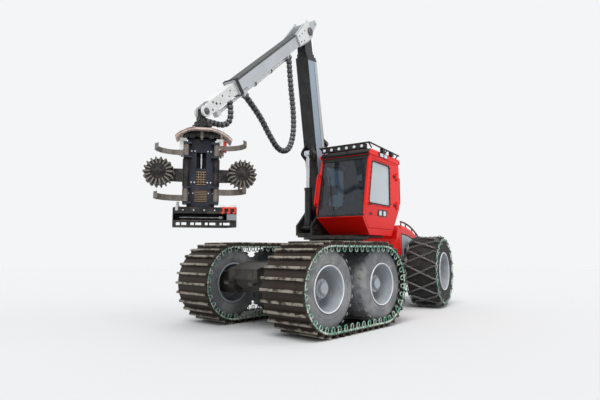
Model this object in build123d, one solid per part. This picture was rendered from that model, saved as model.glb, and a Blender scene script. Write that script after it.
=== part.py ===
"""Six-wheel forestry harvester: tracked front bogies, an articulated rear frame,
a slewing cab with its crane, and a felling head.

Millimetres, +X forward, +Y left, +Z up. Every group is drawn straight in its own
frame, then turned to the stance of the photo and moved so that the origin lies in
the middle of the footprint, on the ground.
"""
from build123d import *
import math
import os

# Main sizes
ORIGIN_X = -1204.16
ORIGIN_Y = -218.30

AXLE_Z = 745.0
BOGIE_HALF = 750.0
WHEEL_Y = 1130.0
TYRE_W = 710.0
TRACK_LINE_R = 690.3
TRACK_W = 860.0
SHOES = 44
GROUSER = 54.7
PIVOT_R = 110.0
BELT_T = 18.0
FRONT_TYRE_R = 669.0
FRONT_TYRE_SIDES = 22
FRONT_RIM_R = 367.0
RIM_SIDES = 40
HUB_SIDES = 20

TOW_EYE = (1270.0, 790.0)
TOW_EYE_R = 28.0
TOW_EYE_T = 50.0
TOW_EYE_Y = 300.0

ARTIC_X = -1950.0
STEER_REST = 11.0
REAR_AXLE_X = -3900.0
REAR_AXLE_Z = 845.0
REAR_TYRE_R = 790.0
REAR_LUG_R = 814.0
CHAIN_IN_R = 806.0
REAR_CHAIN_R = 845.0
REAR_RIM_R = 440.0
REAR_HUB_Y = -358.0
HALF_SHAFT_R = 60.0
TOW_JAW = (-5400.0, 800.0)
TOW_JAW_R = 20.5
TOW_JAW_T = 30.0
TOW_JAW_GAP = 70.0

HOOD_R = 3343.0
HOOD_CROWN = 1931.0
HOOD_CENTRE = (-3374.0, HOOD_CROWN - HOOD_R)
HOOD_BAND = 200.0
HOOD_WALL = 35.0
HOOD_FRONT = -3300.0
HOOD_REAR = -5190.0
HOOD_HALF = 640.0
COWL_TOP = 1925.0
COWL_CORNER = 70.0
HOOD_PIN = (-5220.0, 1128.0)
HOOD_PIN_R = 10.0

SLEW_X = -1350.0
SLEW_REST = 8.0
RING_TOP = 1500.0
RACE_R = 400.0
DECK_TOP = 1640.0

CAB_REAR = -1300.0
CAB_FRONT = 480.0
CAB_RIGHT = -220.0
CAB_LEFT = 900.0
CAB_FLOOR = 1650.0
CAB_EAVES = 3250.0
CAB_TOP = CAB_EAVES + 170.0
CAB_WALL = 50.0
DOOR_GAP = 8.0
RUN = 0.4
DOOR_U0 = -1120.0
CAB_WAIST = 2230.0
CAB_TAPER = 110.0
SCREEN_FOOT = 1990.0
DOOR_PIN_R = 6.0

CRANE_Y = -480.0
BOOM_W = 300.0
FOOT = (-170.0, 2110.0)
ELBOW = (500.0, 6010.0)
TIP = (3430.0, 3530.0)
BOOM_L = math.dist(FOOT, ELBOW)
BOOM_A = math.degrees(math.atan2(ELBOW[1] - FOOT[1], ELBOW[0] - FOOT[0]))
JIB_L = math.dist(ELBOW, TIP)
JIB_A = math.degrees(math.atan2(TIP[1] - ELBOW[1], TIP[0] - ELBOW[0]))
JIB_BOX_END = 2930.0
EXT_STROKE = 1900.0
JIB_H = 122.0
EXT_H = 95.0
STROKE_Z = -175.0

LIFT_PIN = (330.0, 1800.0)
LIFT_BOOM_PIN = (1350.0, -270.0)
JIB_CYL_PIN = (1550.0, 340.0)
HOSE_R = 44.0
HOSE_Y = 90.0
CRANK_R = 360.0
CRANK_ANGLE = 47.5

HEAD_YAW = 54.0
PIN_TIP_Z = 3530.0
CROSS_PIN_Z = 3400.0
ROTATOR_Z0 = 3235.0
TILT_PIN = (-130.0, 2890.0)
ARM_PIVOT = (5.0, 235.0)
ROLLER_AT = (200.0, 620.0)
ROLLER_Z = 2500.0
ROLLER_R = 215.0
ROLLER_ROOT_R = 182.0
ROLLER_RIDGES = 18
SHAFT_R = 40.0
KNIFE_PIVOT = (60.0, 235.0)
SAW_PIVOT = (-120.0, 330.0)
SAW_PIN_R = 20.0


# Shape helpers
def block(x0, x1, y0, y1, z0, z1):
    centre = ((x0 + x1) / 2, (y0 + y1) / 2, (z0 + z1) / 2)
    return Pos(*centre) * Box(x1 - x0, y1 - y0, z1 - z0)


def outline(points):
    return make_face(Polyline(*points, close=True))


def prism_x(points, x0, x1):
    """Points are (y, z)."""
    plane = Plane(origin=(x0, 0, 0), x_dir=(0, 1, 0), z_dir=(1, 0, 0))
    return extrude(plane * outline(points), amount=x1 - x0)


def prism_y(points, y0, y1):
    """Points are (x, z)."""
    plane = Plane(origin=(0, y1, 0), x_dir=(1, 0, 0), z_dir=(0, -1, 0))
    return extrude(plane * outline(points), amount=y1 - y0)


def prism_z(points, z0, z1):
    """Points are (x, y)."""
    plane = Plane(origin=(0, 0, z0), x_dir=(1, 0, 0), z_dir=(0, 0, 1))
    return extrude(plane * outline(points), amount=z1 - z0)


def rod(start, end, radius):
    start = Vector(*start)
    end = Vector(*end)
    plane = Plane(origin=start, z_dir=end - start)
    align = (Align.CENTER, Align.CENTER, Align.MIN)
    return plane * Cylinder(radius, (end - start).length, align=align)


def disc_y(x, z, radius, y0, y1):
    return rod((x, y0, z), (x, y1, z), radius)


def disc_z(x, y, radius, z0, z1):
    return rod((x, y, z0), (x, y, z1), radius)


def disc_x(y, z, radius, x0, x1):
    return rod((x0, y, z), (x1, y, z), radius)


def ngon(count, radius, phase=0.0):
    step = 2 * math.pi / count
    return [
        (radius * math.cos(phase + step * i), radius * math.sin(phase + step * i))
        for i in range(count)
    ]


def wheel_disc(radius, y0, y1, sides=RIM_SIDES):
    """Many-sided disc on the y axis whose corners reach this radius."""
    return prism_y(ngon(sides, radius), y0, y1)


def cone_y(count, r0, y0, r1, y1):
    """Many-sided frustum that narrows from one plane of constant y to another."""
    way = 1 if y1 > y0 else -1
    drop = (r0 - r1) * math.cos(math.pi / count)
    taper = math.degrees(math.atan(drop / abs(y1 - y0)))
    plane = Plane(origin=(0, y0, 0), x_dir=(1, 0, 0), z_dir=(0, way, 0))
    return extrude(plane * outline(ngon(count, r0)), amount=abs(y1 - y0), taper=taper)


def tube(points, radius, bend):
    path = FilletPolyline(*points, radius=bend)
    start = Plane(origin=path @ 0, z_dir=path % 0)
    return sweep(start * RegularPolygon(radius, 10), path=path)


def eye(x, z, radius, y0, y1, hole):
    return disc_y(x, z, radius, y0, y1) - disc_y(x, z, hole, y0 - 1, y1 + 1)


def mirrored(shape):
    return mirror(shape, about=Plane.XZ)


# Placements
def link_frame(at, angle):
    """Frame of a crane member: x along it, y to the left, z square to both."""
    return Pos(at[0], CRANE_Y, at[1]) * Rot(0, -angle, 0)


SHIFT = Pos(-ORIGIN_X, -ORIGIN_Y, 0)
FRONT = SHIFT
REAR = SHIFT * Pos(ARTIC_X, 0, 0) * Rot(0, 0, STEER_REST) * Pos(-ARTIC_X, 0, 0)
SUPER = SHIFT * Pos(SLEW_X, 0, 0) * Rot(0, 0, SLEW_REST)
BOOM = SUPER * link_frame(FOOT, BOOM_A)
JIB = SUPER * link_frame(ELBOW, JIB_A)
HEAD = SUPER * Pos(TIP[0], CRANE_Y, 0) * Rot(0, 0, HEAD_YAW - SLEW_REST)
HANG = SUPER * Pos(TIP[0], CRANE_Y, 0)


# Front frame
def front_frame():
    body = block(-1500, 880, -380, 380, 620, 1130)
    nose = prism_y([(880, 660), (1230, 860), (1230, 1030), (880, 1130)], -360, 360)
    axle = disc_y(0, AXLE_Z, 165, -528, 528)
    axle += disc_y(0, AXLE_Z, PIVOT_R, -640, 640)
    deck = block(-1880, -800, -600, 600, 1130, 1230)
    upper = block(-2060, -1490, -240, 240, 1095, 1200)
    lower = block(-2060, -1490, -240, 240, 600, 700)
    pin = disc_z(ARTIC_X, 0, 60, 600, 1150)
    web = block(-1740, -1490, -240, 240, 690, 1100)
    frame = body + nose + axle + deck + upper + lower + pin + web
    for side in (-1, 1):
        y = side * 300
        z0 = TOW_EYE[1] - TOW_EYE_T / 2
        frame += block(TOW_EYE[0] - 110, TOW_EYE[0] + 55, y - 60, y + 60, z0, z0 + TOW_EYE_T)
        frame += block(TOW_EYE[0] - 110, TOW_EYE[0] - 50, y - 60, y + 60, 750, 1000)
        frame -= disc_z(TOW_EYE[0], y, TOW_EYE_R, z0 - 1, z0 + TOW_EYE_T + 1)
    return frame


def turntable_base():
    ring = disc_z(SLEW_X, 0, 540, 1230, RING_TOP)
    flange = disc_z(SLEW_X, 0, 590, 1230, 1262)
    race = disc_z(SLEW_X, 0, RACE_R, 1230, RING_TOP + 34)
    return ring + flange + race


def bogie_case():
    """Left side; its hubs reach into the rims."""
    beam = [
        (-960, AXLE_Z - 70),
        (-860, AXLE_Z - 170),
        (-250, AXLE_Z - 170),
        (0, AXLE_Z - 215),
        (250, AXLE_Z - 170),
        (860, AXLE_Z - 170),
        (960, AXLE_Z - 70),
        (960, AXLE_Z + 70),
        (860, AXLE_Z + 170),
        (250, AXLE_Z + 170),
        (0, AXLE_Z + 215),
        (-250, AXLE_Z + 170),
        (-860, AXLE_Z + 170),
        (-960, AXLE_Z + 70),
    ]
    case = prism_y(beam, 535, 690)
    case += disc_y(0, AXLE_Z, 230, 690, 740)
    for x in (-BOGIE_HALF, BOGIE_HALF):
        case += disc_y(x, AXLE_Z, 185, 690, 1080)
    return case - disc_y(0, AXLE_Z, PIVOT_R + RUN, 530, 646)


def front_rim(x):
    inner = WHEEL_Y - 345
    outer = WHEEL_Y + 345
    at = Pos(x, 0, AXLE_Z)
    barrel = wheel_disc(FRONT_RIM_R, inner, outer)
    barrel -= wheel_disc(FRONT_RIM_R - 28, inner - 1, outer + 1)
    disc = wheel_disc(FRONT_RIM_R - 20, 1090, 1125)
    hub = wheel_disc(150, 1080, 1330, HUB_SIDES)
    cap = wheel_disc(105, 1330, 1390, HUB_SIDES)
    return at * (barrel + disc + hub + cap)


def front_rims():
    return Compound([front_rim(-BOGIE_HALF), front_rim(BOGIE_HALF)])


def front_tyre(x):
    sides = FRONT_TYRE_SIDES
    shoulder = 235.0
    half = TYRE_W / 2
    wall_r = 560.0
    tread = prism_y(ngon(sides, FRONT_TYRE_R), WHEEL_Y - shoulder, WHEEL_Y + shoulder)
    left = cone_y(sides, FRONT_TYRE_R, WHEEL_Y + shoulder, wall_r, WHEEL_Y + half)
    right = cone_y(sides, FRONT_TYRE_R, WHEEL_Y - shoulder, wall_r, WHEEL_Y - half)
    solid = tread + left + right
    bore = wheel_disc(FRONT_RIM_R, WHEEL_Y - half - 1, WHEEL_Y + half + 1)
    return Pos(x, 0, AXLE_Z) * (solid - bore)


def front_tyres():
    return Compound([front_tyre(-BOGIE_HALF), front_tyre(BOGIE_HALF)])


def track_point(s, height):
    """Point on the loop at arc length s, height outside its shoe line."""
    r = TRACK_LINE_R
    straight = 2 * BOGIE_HALF
    arc = math.pi * r
    s = s % (2 * straight + 2 * arc)
    if s < straight:
        return (-BOGIE_HALF + s, AXLE_Z + r + height)
    s -= straight
    if s < arc:
        a = math.pi / 2 - s / r
        return (
            BOGIE_HALF + (r + height) * math.cos(a),
            AXLE_Z + (r + height) * math.sin(a),
        )
    s -= arc
    if s < straight:
        return (BOGIE_HALF - s, AXLE_Z - r - height)
    s -= straight
    a = -math.pi / 2 - s / r
    return (
        -BOGIE_HALF + (r + height) * math.cos(a),
        AXLE_Z + (r + height) * math.sin(a),
    )


TRACK_PITCH = (4 * BOGIE_HALF + 2 * math.pi * TRACK_LINE_R) / SHOES


def track():
    outer = []
    inner = []
    for i in range(SHOES):
        s = i * TRACK_PITCH
        mid = s + TRACK_PITCH / 2
        outer.append(track_point(s, 0))
        outer.append(track_point(mid - 26, 0))
        outer.append(track_point(mid - 17, GROUSER))
        outer.append(track_point(mid + 17, GROUSER))
        outer.append(track_point(mid + 26, 0))
        inner.append(track_point(s, -BELT_T))
        inner.append(track_point(mid, -BELT_T))
    y0 = WHEEL_Y - TRACK_W / 2
    y1 = WHEEL_Y + TRACK_W / 2
    loop = prism_y(outer, y0, y1) - prism_y(inner, y0 - 1, y1 + 1)
    flat = FRONT_TYRE_R * math.cos(math.pi / FRONT_TYRE_SIDES)
    reach = TRACK_LINE_R - BELT_T / 2
    for x in (-BOGIE_HALF, BOGIE_HALF):
        for low, high in ((-reach, -flat), (flat, reach)):
            for y in (WHEEL_Y - 150, WHEEL_Y + 150):
                loop += block(x - 60, x + 60, y - 40, y + 40, AXLE_Z + low, AXLE_Z + high)
    return loop


# Rear frame
def rear_frame():
    tongue = block(-2455, ARTIC_X, -150, 150, 715, 1080)
    tongue += block(-2500, -2450, -150, 150, 715, 1055)
    nose = disc_z(ARTIC_X, 0, 150, 715, 1080)
    body = block(-5150, -2460, -380, 380, 600, 1060)
    axle = disc_y(REAR_AXLE_X, REAR_AXLE_Z, 150, -765, 765)
    reach = WHEEL_Y - 205
    axle += disc_y(REAR_AXLE_X, REAR_AXLE_Z, HALF_SHAFT_R, -reach, reach)
    case = block(-4120, -3680, -440, 440, 610, 1050)
    bumper = block(-5330, -5150, -560, 560, 640, 1060)
    frame = tongue + nose + body + axle + case + bumper
    frame -= disc_z(ARTIC_X, 0, 60 + RUN, 700, 1100)
    mid = TOW_JAW[1]
    reach = TOW_JAW_GAP / 2 + TOW_JAW_T
    for z0 in (mid - reach, mid + TOW_JAW_GAP / 2):
        frame += block(TOW_JAW[0] - 55, -5320, -65, 65, z0, z0 + TOW_JAW_T)
    frame -= disc_z(TOW_JAW[0], 0, TOW_JAW_R, mid - reach - 1, mid + reach + 1)
    return frame


def engine_block():
    return block(-4600, -3350, -330, 330, 1060, 1400)


def hood_arc(radius, x0, x1, half):
    """Everything under the hood's arc of this radius, between two stations."""
    cx, cz = HOOD_CENTRE
    return disc_y(cx, cz, radius, -half, half) & block(x0, x1, -half, half, 1000, HOOD_CROWN + 10)


def engine_bay_panels():
    top = HOOD_R - HOOD_BAND - DOOR_GAP
    wall = 40
    outer = hood_arc(top, HOOD_REAR, HOOD_FRONT + 10, HOOD_HALF)
    outer -= block(-5400, -3000, -700, 700, 900, 1065)
    inner = block(HOOD_REAR + wall, HOOD_FRONT - wall, -600, 600, 1060, 2000)
    walls = outer - inner
    floor = block(HOOD_REAR, HOOD_FRONT + 10, -HOOD_HALF, HOOD_HALF, 1060, 1085)
    floor -= block(-4605, -3345, -335, 335, 1050, 1100)
    walls += floor
    for side in (-1, 1):
        y0 = HOOD_HALF if side > 0 else -HOOD_HALF - 12
        for x in (-3620, -4080, -4520):
            walls += block(x - 200, x + 200, y0, y0 + 12, 1180, 1400)
    for y in (-420, 420):
        for y0 in (y - 60, y + 36):
            x, z = HOOD_PIN
            ear = block(x - 18, HOOD_REAR + 5, y0, y0 + 24, z - 18, z + 10)
            walls += ear - disc_y(x, z, HOOD_PIN_R + RUN, y0 - 1, y0 + 25)
    return walls


def cowl_section(wall):
    """Section across the cowl this far inside its faces, its top corners cut off."""
    half = HOOD_HALF - wall
    top = COWL_TOP - wall
    cut = COWL_CORNER
    right = [(-half, 1050), (-half, top - cut), (cut - half, top)]
    return right + [(-y, z) for y, z in right[::-1]]


def front_cowl():
    outer = [
        (-2460, 1060),
        (-2460, 1380),
        (-2600, 1480),
        (-2860, 1500),
        (-2960, 1600),
        (-3040, 1800),
        (-3140, 1905),
        (-3284, COWL_TOP),
        (-3284, 1060),
    ]
    inner = [
        (-2500, 1050),
        (-2500, 1360),
        (-2615, 1441),
        (-2875, 1461),
        (-2995, 1580),
        (-3074, 1779),
        (-3158, 1867),
        (-3300, 1885),
        (-3300, 1050),
    ]
    cowl = prism_y(outer, -HOOD_HALF, HOOD_HALF) & prism_x(cowl_section(0), -3400, -2400)
    return cowl - (prism_y(inner, -600, 600) & prism_x(cowl_section(40), -3400, -2400))


def hood_point(x, radius, y):
    cx, cz = HOOD_CENTRE
    return (x, y, cz + math.sqrt(radius**2 - (x - cx) ** 2))


def hood():
    """Arched lid hinged at its rear edge, with a rail along each side."""
    lid = hood_arc(HOOD_R, HOOD_REAR, HOOD_FRONT, HOOD_HALF)
    edge = lid.edges().filter_by(GeomType.CIRCLE).sort_by(SortBy.RADIUS)
    lid = fillet(edge[-2:], 70)
    cx, cz = HOOD_CENTRE
    lid -= disc_y(cx, cz, HOOD_R - HOOD_BAND, -700, 700)
    inner = hood_arc(HOOD_R - HOOD_WALL, HOOD_REAR + HOOD_WALL, HOOD_FRONT - HOOD_WALL, 600)
    lid -= inner
    rail_r = HOOD_R + 90
    stations = (-3450, -3900, -4300, -4680, -4980)
    for y in (-580, 580):
        lid += tube([hood_point(x, rail_r, y) for x in stations], 16, 300)
        for x in stations[::2]:
            foot = x - 12 if x == stations[0] else x
            foot = x + 12 if x == stations[-1] else foot
            lid += rod(hood_point(foot, rail_r, y), hood_point(foot, HOOD_R - 20, y), 11)
    for y in (-420, 420):
        lid += block(HOOD_PIN[0] - 20, HOOD_REAR, y - 30, y + 30, HOOD_PIN[1] + 32, 1230)
        lid += block(HOOD_PIN[0] - 20, HOOD_PIN[0] + 20, y - 30, y + 30, HOOD_PIN[1], 1170)
        lid += disc_y(HOOD_PIN[0], HOOD_PIN[1], 20, y - 30, y + 30)
        lid += disc_y(HOOD_PIN[0], HOOD_PIN[1], HOOD_PIN_R, y - 62, y + 62)
    return lid


def rear_tyre():
    sides = 24
    half = TYRE_W / 2
    shoulder = 265.0
    solid = prism_y(ngon(sides, REAR_TYRE_R), -shoulder, shoulder)
    solid += cone_y(sides, REAR_TYRE_R, shoulder, 650, half)
    solid += cone_y(sides, REAR_TYRE_R, -shoulder, 650, -half)
    solid -= wheel_disc(REAR_RIM_R, -half - 1, half + 1)
    lugs = 14
    height = REAR_LUG_R - REAR_TYRE_R + 40
    for i in range(lugs):
        for side in (-1, 1):
            turn = 360.0 / lugs * (i + (0.5 if side > 0 else 0.0))
            lug = Pos(0, side * 165, REAR_LUG_R - height / 2)
            lug = lug * Rot(0, 0, side * 20) * Box(62, 330, height)
            solid += Rot(0, turn, 0) * lug
    return solid


def rear_chain():
    bars = []
    count = 14
    for i in range(count):
        turn = Rot(0, 360.0 / count * (i + 0.25), 0)
        bar = Pos(0, 0, (CHAIN_IN_R + REAR_CHAIN_R) / 2)
        bars.append(turn * bar * Box(36, 704, REAR_CHAIN_R - CHAIN_IN_R))
    chain = bars[0]
    for bar in bars[1:]:
        chain += bar
    phase = 2 * math.pi / count * 0.25 - math.pi / 2
    for side in (-1, 1):
        y0 = min(side * 340, side * 362)
        outer = prism_y(ngon(count, REAR_CHAIN_R - 2, phase), y0, y0 + 22)
        inner = prism_y(ngon(count, REAR_CHAIN_R - 34, phase), y0 - 1, y0 + 23)
        chain += outer - inner
    return chain


def rear_rim():
    """Left wheel, drawn round its own centre."""
    inner = -345.0
    outer = 345.0
    barrel = wheel_disc(REAR_RIM_R, inner, outer)
    barrel -= wheel_disc(REAR_RIM_R - 28, inner - 1, outer + 1)
    disc = wheel_disc(REAR_RIM_R - 20, -40, -5)
    hub = wheel_disc(170, REAR_HUB_Y, 190, HUB_SIDES)
    return barrel + disc + hub - disc_y(0, 0, HALF_SHAFT_R + RUN, REAR_HUB_Y, -200)


# Slewing upper
def slew_platform():
    ring = disc_z(0, 0, 560, RING_TOP + 6, 1562)
    ring += disc_z(0, 0, 680, 1560, DECK_TOP - 30)
    ring -= disc_z(0, 0, RACE_R + RUN, RING_TOP, RING_TOP + 40)
    deck = prism_z(
        [
            (-1050, -560),
            (-900, -690),
            (420, -690),
            (520, -560),
            (520, -120),
            (250, 520),
            (-200, 640),
            (-1000, 640),
            (-1050, 560),
        ],
        DECK_TOP - 35,
        DECK_TOP,
    )
    for u in (-980, -60):
        for v in (-180, 440):
            deck += block(u, u + 90, v, v + 90, DECK_TOP - 10, CAB_FLOOR)
    return ring + deck


def crane_base():
    profile = [
        (-560, DECK_TOP),
        (500, DECK_TOP),
        (500, 1850),
        (380, 1950),
        (150, 2160),
        (-20, 2260),
        (-310, 2260),
        (-470, 2080),
        (-560, 1800),
    ]
    y0 = CRANE_Y - 200
    y1 = CRANE_Y + 200
    body = prism_y(profile, y0, y1)
    slot_y0 = CRANE_Y - BOOM_W / 2 - 10
    slot_y1 = CRANE_Y + BOOM_W / 2 + 10
    slot = [
        (-600, 1880),
        (-250, 1880),
        (60, 1690),
        (600, 1690),
        (600, 2400),
        (-600, 2400),
    ]
    body -= prism_y(slot, slot_y0, slot_y1)
    body += disc_y(FOOT[0], FOOT[1], 50, y0 - 15, y1 + 15)
    body += disc_y(LIFT_PIN[0], LIFT_PIN[1], 38, y0 - 12, y1 + 12)
    return body


CAB_PROFILE = [
    (-1060, CAB_FLOOR),
    (40, CAB_FLOOR),
    (CAB_FRONT, SCREEN_FOOT),
    (200, CAB_EAVES),
    (-1270, CAB_EAVES),
    (CAB_REAR, CAB_EAVES - 100),
    (CAB_REAR, 2330),
]
CAB_INNER = [
    (-1030, CAB_FLOOR + 60),
    (40, CAB_FLOOR + 60),
    (CAB_FRONT - 55, SCREEN_FOOT + 26),
    (148, CAB_EAVES + 10),
    (-1222, CAB_EAVES + 10),
    (CAB_REAR + CAB_WALL, CAB_EAVES - 108),
    (CAB_REAR + CAB_WALL, 2345),
]
SCREEN_Z0 = 2020.0
SCREEN_Z1 = CAB_EAVES - 40.0
SCREEN_EDGE = 45.0
SCREEN_U1 = 600.0
DOOR_FOOT = CAB_FLOOR + 130.0
DOOR_HEAD = CAB_EAVES - 55.0
DOOR = [
    (DOOR_U0, DOOR_FOOT),
    (130, DOOR_FOOT),
    (395, SCREEN_FOOT),
    (395, SCREEN_FOOT + 70),
    (150, DOOR_HEAD),
    (DOOR_U0, DOOR_HEAD),
]
WINDOW_FOOT = CAB_WAIST + 40.0
WINDOW_HEAD = CAB_EAVES - 115.0
WINDOW = [(-760, WINDOW_FOOT), (275, WINDOW_FOOT), (88, WINDOW_HEAD), (-760, WINDOW_HEAD)]
REAR_WINDOW = (CAB_RIGHT + 100.0, CAB_LEFT - 100.0, CAB_WAIST + 120.0, CAB_EAVES - 150.0)
HINGE_HEIGHTS = (CAB_WAIST + 80.0, CAB_EAVES - 300.0)


def screen_u(z):
    """Front face of the cab at height z, where the windscreen lies."""
    part = (z - SCREEN_FOOT) / (CAB_EAVES - SCREEN_FOOT)
    return CAB_FRONT + (200 - CAB_FRONT) * part


def cab_section(wall):
    """Section across the cab, this far inside its outer faces: the sides lean in below."""
    right = CAB_RIGHT + wall
    left = CAB_LEFT - wall
    return [
        (right + CAB_TAPER, CAB_FLOOR - 10),
        (left - CAB_TAPER, CAB_FLOOR - 10),
        (left, CAB_WAIST),
        (left, CAB_EAVES + 20),
        (right, CAB_EAVES + 20),
        (right, CAB_WAIST),
    ]


def cab_walls():
    outer = prism_y(CAB_PROFILE, CAB_RIGHT, CAB_LEFT) & prism_x(cab_section(0), -1400, 600)
    inner = prism_y(CAB_INNER, CAB_RIGHT, CAB_LEFT)
    return outer - (inner & prism_x(cab_section(CAB_WALL), -1400, 600))


def rounded_pane(points, radius, y0, y1):
    """Upright pane with rounded corners between two planes of constant y."""
    face = outline(points)
    plane = Plane(origin=(0, y1, 0), x_dir=(1, 0, 0), z_dir=(0, -1, 0))
    return extrude(plane * fillet(face.vertices(), radius), amount=y1 - y0)


def cab_shell():
    shell = cab_walls()
    edge = SCREEN_EDGE
    shell -= block(100, SCREEN_U1, CAB_RIGHT + edge, CAB_LEFT - edge, SCREEN_Z0, SCREEN_Z1)
    shell -= rounded_pane(WINDOW, 70, CAB_RIGHT - 10, CAB_RIGHT + CAB_WALL + 10)
    shell -= block(-1400, -1200, *REAR_WINDOW)
    shell -= prism_y(DOOR, CAB_LEFT - 180, CAB_LEFT + 10)
    for z in HINGE_HEIGHTS:
        for z0 in (z - 82, z + 54):
            shell += disc_z(DOOR_U0 - 8, CAB_LEFT + 22, 14, z0, z0 + 28)
            shell += disc_z(DOOR_U0 - 8, CAB_LEFT + 22, DOOR_PIN_R, z - 55, z + 55)
            shell += block(DOOR_U0 - 26, DOOR_U0 + 2, CAB_LEFT - 5, CAB_LEFT + 24, z0, z0 + 28)
    return shell


def cab_roof():
    slab = prism_y(
        [
            (-1310, CAB_EAVES),
            (220, CAB_EAVES),
            (240, CAB_EAVES + 45),
            (130, CAB_TOP - 40),
            (-200, CAB_TOP),
            (-1000, CAB_TOP),
            (-1240, CAB_TOP - 40),
            (-1320, CAB_EAVES + 60),
        ],
        CAB_RIGHT - 20,
        CAB_LEFT + 20,
    )
    for side in (-1, 1):
        edge = CAB_RIGHT - 20 if side < 0 else CAB_LEFT + 20
        cut = [(edge, CAB_TOP - 70), (edge, CAB_TOP + 5), (edge - side * 110, CAB_TOP + 5)]
        slab -= prism_x(cut, -1400, 300)
    return slab


def sloped_pane(z0, z1, depth, thick, y0, y1):
    points = [
        (screen_u(z0) - depth, z0),
        (screen_u(z1) - depth, z1),
        (screen_u(z1) - depth - thick, z1),
        (screen_u(z0) - depth - thick, z0),
    ]
    return prism_y(points, y0, y1)


def cab_glass():
    edge = SCREEN_EDGE
    screen = sloped_pane(SCREEN_Z0, SCREEN_Z1, 12, 10, CAB_RIGHT + edge, CAB_LEFT - edge)
    right = rounded_pane(WINDOW, 70, CAB_RIGHT + 12, CAB_RIGHT + 22)
    rear = block(-1288, -1278, *REAR_WINDOW)
    return Compound([screen, right, rear])


def cab_seat():
    floor = CAB_FLOOR + 60
    post = block(-760, -440, 200, 480, floor, 2020)
    cushion = block(-830, -330, 90, 590, 2020, 2140)
    back = prism_y([(-830, 2130), (-700, 2130), (-840, 2900), (-950, 2900)], 110, 570)
    seat = post + cushion + back
    for y in (30, 590):
        seat += block(-750, -250, y, y + 60, 2290, 2340)
        seat += block(-780, -700, y, y + 60, 2060, 2340)
    return seat


def cab_console():
    floor = CAB_FLOOR + 60
    stand = prism_y(
        [(-120, floor), (30, floor), (240, 1885), (300, 2060), (200, 2130), (130, 2060)], 240, 440
    )
    return stand


def roof_guard():
    """Lamp rail round the front and left edge of the roof."""
    z = CAB_TOP + 55
    front_u = 262
    y0 = CAB_RIGHT - 10
    y1 = CAB_LEFT + 25
    guard = rod((front_u, y0, z), (front_u, y1, z), 17)
    guard += Pos(front_u, y1, z) * Sphere(17)
    guard += rod((front_u, y1, z), (-1250, y1, z - 30), 17)
    for y in (y0 + 20, (y0 + y1) / 2, y1 - 20):
        guard += rod((front_u, y, z), (120, y, CAB_TOP - 25), 14)
    for u in (-600, -1200):
        guard += rod((u, y1, z - 22), (u, y1 - 75, CAB_TOP - 60), 14)
    guard += block(front_u - 45, front_u + 35, y0 + 70, y1 - 70, z - 112, z - 22)
    for u in (-450, -900):
        guard += block(u, u + 110, y1 - 45, y1 + 25, z - 110, z - 15)
    return guard - cab_roof()


def cab_handrails():
    y = CAB_RIGHT + 25
    front = [(screen_u(2230) + 4, y, 2230), (screen_u(2230) + 120, y, 2240)]
    top = CAB_EAVES - 360
    front += [(screen_u(top) + 120, y, top), (screen_u(top) + 4, y, top)]
    y = CAB_LEFT - 30
    rear = [(CAB_REAR, y, 2360), (CAB_REAR - 90, y, 2360)]
    top = CAB_EAVES - 290
    rear += [(CAB_REAR - 90, y, top), (CAB_REAR, y, top)]
    rails = [tube(front, 15, 45), tube(rear, 15, 40)]
    return Compound(rails)


def cab_door():
    inset = offset(outline(DOOR), amount=-DOOR_GAP, kind=Kind.INTERSECTION)
    plane = Plane(origin=(0, CAB_LEFT + 10, 0), x_dir=(1, 0, 0), z_dir=(0, -1, 0))
    door = extrude(plane * inset, amount=190) & cab_walls()
    door -= rounded_pane(WINDOW, 70, CAB_LEFT - CAB_WALL - 5, CAB_LEFT + 5)
    door += block(190, 320, CAB_LEFT - 2, CAB_LEFT + 25, 2235, 2262)
    for z in HINGE_HEIGHTS:
        door += disc_z(DOOR_U0 - 8, CAB_LEFT + 22, 14, z - 50, z + 50)
        door += block(DOOR_U0 - 8, DOOR_U0 + 60, CAB_LEFT + 12, CAB_LEFT + 28, z - 40, z + 40)
        door += block(DOOR_U0 + 20, DOOR_U0 + 60, CAB_LEFT - 2, CAB_LEFT + 14, z - 40, z + 40)
        door -= disc_z(DOOR_U0 - 8, CAB_LEFT + 22, DOOR_PIN_R + RUN, z - 51, z + 51)
    return door


def door_glass():
    return rounded_pane(WINDOW, 70, CAB_LEFT - 22, CAB_LEFT - 12)


# Crane
def main_boom():
    """Link frame: x from the foot pin, z towards the rear."""
    half = BOOM_W / 2
    top = BOOM_L
    profile = [
        (-125, -110),
        (-125, 110),
        (450, 180),
        (3350, 180),
        (3420, 150),
        (3420, -180),
        (450, -180),
    ]
    body = prism_y(profile, -half, half)
    head = [(3420, -165), (3420, 145), (top + 85, 95), (top + 85, -95), (3700, -150)]
    body += prism_y(head, -100, 100)
    body += prism_y([(3350, -170), (3500, -160), (3500, 140), (3350, 170)], -120, 120)
    body -= disc_y(0, 0, 50 + RUN, -half - 1, half + 1)
    body += disc_y(top, 0, 48, -172, 172)
    a, o = LIFT_BOOM_PIN
    lug = [(a - 190, -175), (a + 190, -175), (a + 60, o - 62), (a - 60, o - 62)]
    body += prism_y(lug, -130, -95) + prism_y(lug, 95, 130)
    for side in (-1, 1):
        y0, y1 = sorted((side * 72, side * 145))
        body += disc_y(a, o, 38, y0, y1)
    a, o = JIB_CYL_PIN
    lug = [(a - 160, 175), (a + 160, 175), (a + 50, o + 55), (a - 50, o + 55)]
    body += prism_y(lug, -115, -80) + prism_y(lug, 80, 115)
    body += disc_y(a, o, 32, -130, 130)
    return body


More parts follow.
